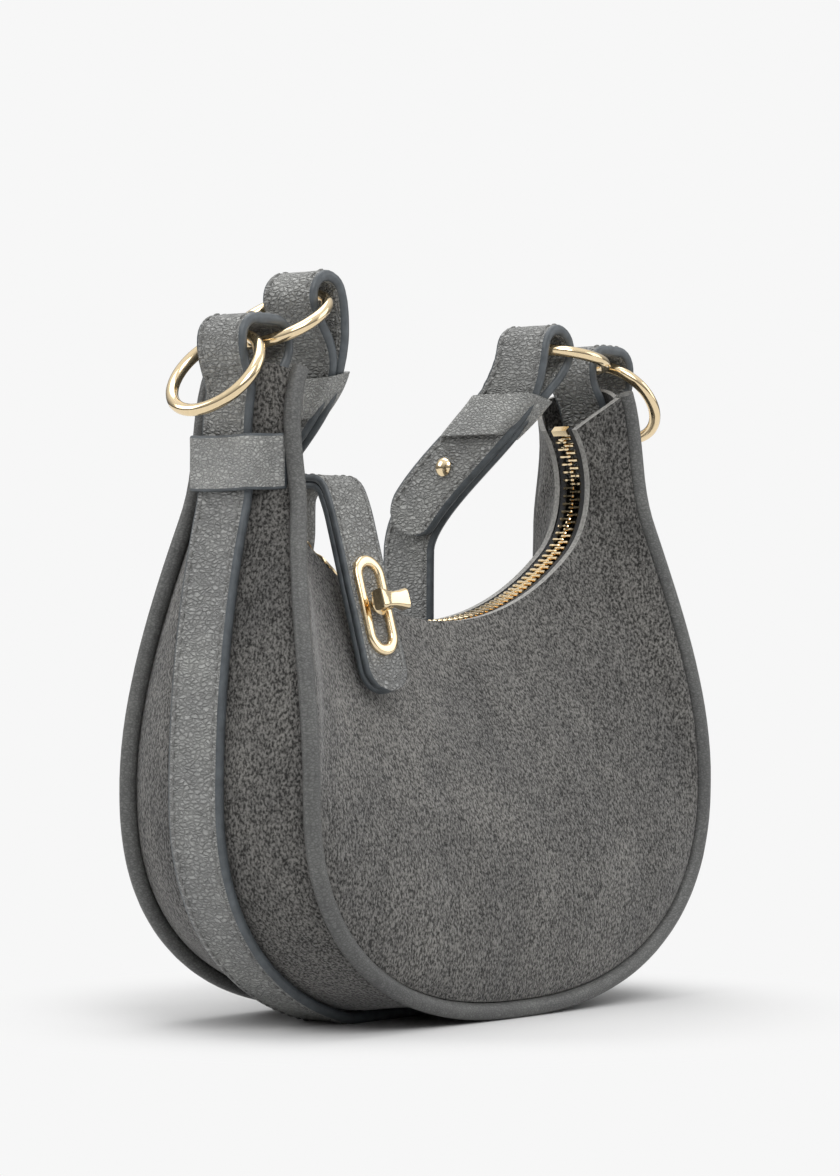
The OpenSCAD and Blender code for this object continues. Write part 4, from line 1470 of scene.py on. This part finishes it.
class BAG_OT_lock(Piece, bpy.types.Operator):
    """Turn lock: oval plate with its slot, back plate, post and turning knob."""
    bl_idname = "bag.lock"
    bl_label = "Turn lock"

    def build(self, m, s):
        gold = m["gold"]
        c, (across, down, out) = lock_place(), lock_axes()
        t = s.tab_layer_t

        def place(u, v, lift):
            return c + across * u + down * v + out * lift

        pairs = zip(oblong_points(*PLATE_SIZE, 96), oblong_points(*PLATE_HOLE, 96))
        rings = [[place(mix(u0, u1, q), mix(v0, v1, q), t + PLATE_T * h) for q, h in PLATE_SECTION]
                 for (u0, v0), (u1, v1) in pairs]
        plate = tube_loops("lock_plate_metal", rings, [gold], closed=True, sharp=50)
        dress(plate, "tab", "gold", "lock_plate")

        rings = plate_outline(oblong_points(*BACK_SIZE), -t - PLATE_T, -t, 0.0004, place)
        back = tube_loops("lock_back_metal", rings, [gold], sharp=40)
        prongs = [lathe("prong", place(0, v, 0.0001 - t - PLATE_T), -out, PRONG) for v in (-PRONG_V, PRONG_V)]
        back = joined("lock_back_metal", [back] + prongs)
        dress(back, "tab", "gold", "lock_back_plate")

        dress(lathe("lock_post_metal", place(0, 0, -t), out, POST), "tab", "gold", "lock_post")
        self.knob(place, gold)

    def knob(self, place, gold):
        """Bar with flared, faceted ends on a turned hub."""
        low = sizes().tab_layer_t + PLATE_T + HUB_GAP
        hub = lathe("knob_hub", place(0, 0, low), lock_axes()[2], HUB)
        half_l, half_w, half_h = BAR_HALF
        corners = [(signed_pow(math.cos(a), 0.4), signed_pow(math.sin(a), 0.4))
                   for a in turns(24)]
        rings = [[place(half_l * u, half_w * k * v, low + BAR_LIFT + half_h * k * h) for v, h in corners]
                 for u, k in BAR_ENDS]
        obj = joined("lock_knob_metal", [hub, tube_loops("knob_bar", rings, [gold], sharp=40)])
        dress(obj, "knob", "gold", "lock_knob")


# Stage


CAMERA_AT = (-0.8674, -0.7176, 0.1166)
CAMERA_AIM = (-0.0015, 0.0019, 0.1276)
CAMERA_LENS = 159.2
FLOOR_HALF = 4.0
SHADOW_NEAR, SHADOW_FAR = 0.075, 0.150
LIGHT_AIM = Vector((0, 0, 0.1))
LIGHTS = (("key", (-0.9, -1.3, 1.5), 1.1, 16.0), ("fill", (1.2, -1.2, 0.8), 1.1, 6.0),
          ("top", (0.1, 0.2, 1.7), 1.2, 11.0), ("rim", (-0.9, 1.1, 0.9), 0.8, 6.0))


class BAG_OT_stage(bpy.types.Operator):
    """Camera, pale floor and soft light."""
    bl_idname = "bag.stage"
    bl_label = "Stage"

    def execute(self, context):
        self.camera(context)
        self.floor()
        self.lights(context)
        self.world(context)
        context.scene.view_settings.view_transform = "Standard"
        return {"FINISHED"}

    def camera(self, context):
        """Camera at the photograph's viewing angle."""
        data = bpy.data.cameras.new("camera")
        data.sensor_fit = "HORIZONTAL"
        data.sensor_width = 36
        data.lens = CAMERA_LENS
        data.clip_start = 0.01
        cam = bpy.data.objects.new("camera", data)
        context.scene.collection.objects.link(cam)
        cam.location = CAMERA_AT
        cam.rotation_euler = (Vector(CAMERA_AIM) - cam.location).to_track_quat("-Z", "Y").to_euler()
        context.scene.camera = cam

    def floor(self):
        """Floor that keeps the shadow near the bag and fades into the backdrop's colour."""
        corners = [(x * FLOOR_HALF, y * FLOOR_HALF, 0) for x, y in ((-1, -1), (1, -1), (1, 1), (-1, 1))]
        obj = add_object("floor", corners, [(0, 1, 2, 3)], [self.floor_material()])

    def floor_material(self):
        """Matt floor near the bag; further off the camera and reflections see the backdrop's colour."""
        m, shader = new_material("floor", tinted(colours().backdrop, 0.72), 0.9)
        set_inputs(shader, {"Specular IOR Level": 0.1})
        glow = node(m, "ShaderNodeEmission", Strength=1.0, Color=(*colours().backdrop, 1))
        far = node(m, "ShaderNodeVectorMath", operation="LENGTH")
        link(m, node(m, "ShaderNodeNewGeometry").outputs["Position"], far.inputs[0])
        fade = spread(m, far.outputs["Value"], SHADOW_NEAR, SHADOW_FAR, 0, 1, "SMOOTHSTEP")
        ray = node(m, "ShaderNodeLightPath")
        seen = joint_value(m, "MAXIMUM", ray.outputs["Is Camera Ray"], ray.outputs["Is Glossy Ray"])
        shown = mixed_shader(m, joint_value(m, "MULTIPLY", fade, seen), shader, glow)
        link(m, shown, m.node_tree.nodes["Material Output"].inputs["Surface"])
        return m

    def lights(self, context):
        """Large soft boxes: a key from the upper left, a fill from the right, a top light and a rim light."""
        for name, place, size, power in LIGHTS:
            light = bpy.data.lights.new(name, "AREA")
            light.size = size
            light.energy = power
            obj = bpy.data.objects.new(name, light)
            obj.location = place
            obj.rotation_euler = (LIGHT_AIM - Vector(place)).to_track_quat("-Z", "Y").to_euler()
            context.scene.collection.objects.link(obj)

    def world(self, context):
        """Backdrop's colour to the camera; as light the world is bright above and dim at the horizon."""
        world = bpy.data.worlds.new("world")
        context.scene.world = world
        world.use_nodes = True
        seen = world.node_tree.nodes["Background"]
        seen.inputs["Color"].default_value = (*colours().backdrop, 1)
        where = node(world, "ShaderNodeTexCoord").outputs["Generated"]
        height = node(world, "ShaderNodeSeparateXYZ", Vector=where).outputs["Z"]
        lit = node(world, "ShaderNodeBackground", Color=(1, 1, 1, 1),
                   Strength=spread(world, height, 0.02, 0.75, 0.12, 0.95))
        camera_ray = node(world, "ShaderNodeLightPath").outputs["Is Camera Ray"]
        shown = mixed_shader(world, camera_ray, lit, seen)
        link(world, shown, world.node_tree.nodes["World Output"].inputs["Surface"])


OPERATORS = (
    BAG_OT_stage, BAG_OT_panels, BAG_OT_gusset, BAG_OT_piping, BAG_OT_gusset_strip, BAG_OT_bands,
    BAG_OT_tab_loops, BAG_OT_rings, BAG_OT_strap, BAG_OT_keepers, BAG_OT_zip, BAG_OT_slider, BAG_OT_linings,
    BAG_OT_tab, BAG_OT_lock,
)


class BAG_PT_panel(bpy.types.Panel):
    """Buttons for each piece of the bag."""
    bl_idname = "BAG_PT_panel"
    bl_label = "Half moon bag"
    bl_space_type = "VIEW_3D"
    bl_region_type = "UI"
    bl_category = "Bag"

    def draw(self, context):
        for operator in OPERATORS:
            self.layout.operator(operator.bl_idname)


def register():
    """Registers the classes and the scene's properties."""
    for cls in (BagSizes, BagColours, *OPERATORS, BAG_PT_panel):
        bpy.utils.register_class(cls)
    bpy.types.Scene.bag_sizes = PointerProperty(type=BagSizes)
    bpy.types.Scene.bag_colours = PointerProperty(type=BagColours)


def unregister():
    """Takes the classes and the properties away."""
    del bpy.types.Scene.bag_colours
    del bpy.types.Scene.bag_sizes
    for cls in reversed((BagSizes, BagColours, *OPERATORS, BAG_PT_panel)):
        bpy.utils.unregister_class(cls)


def main():
    """Makes the bag."""
    register()
    for operator in OPERATORS:
        group, name = operator.bl_idname.split(".")
        getattr(getattr(bpy.ops, group), name)()


if __name__ == "__main__":
    main()
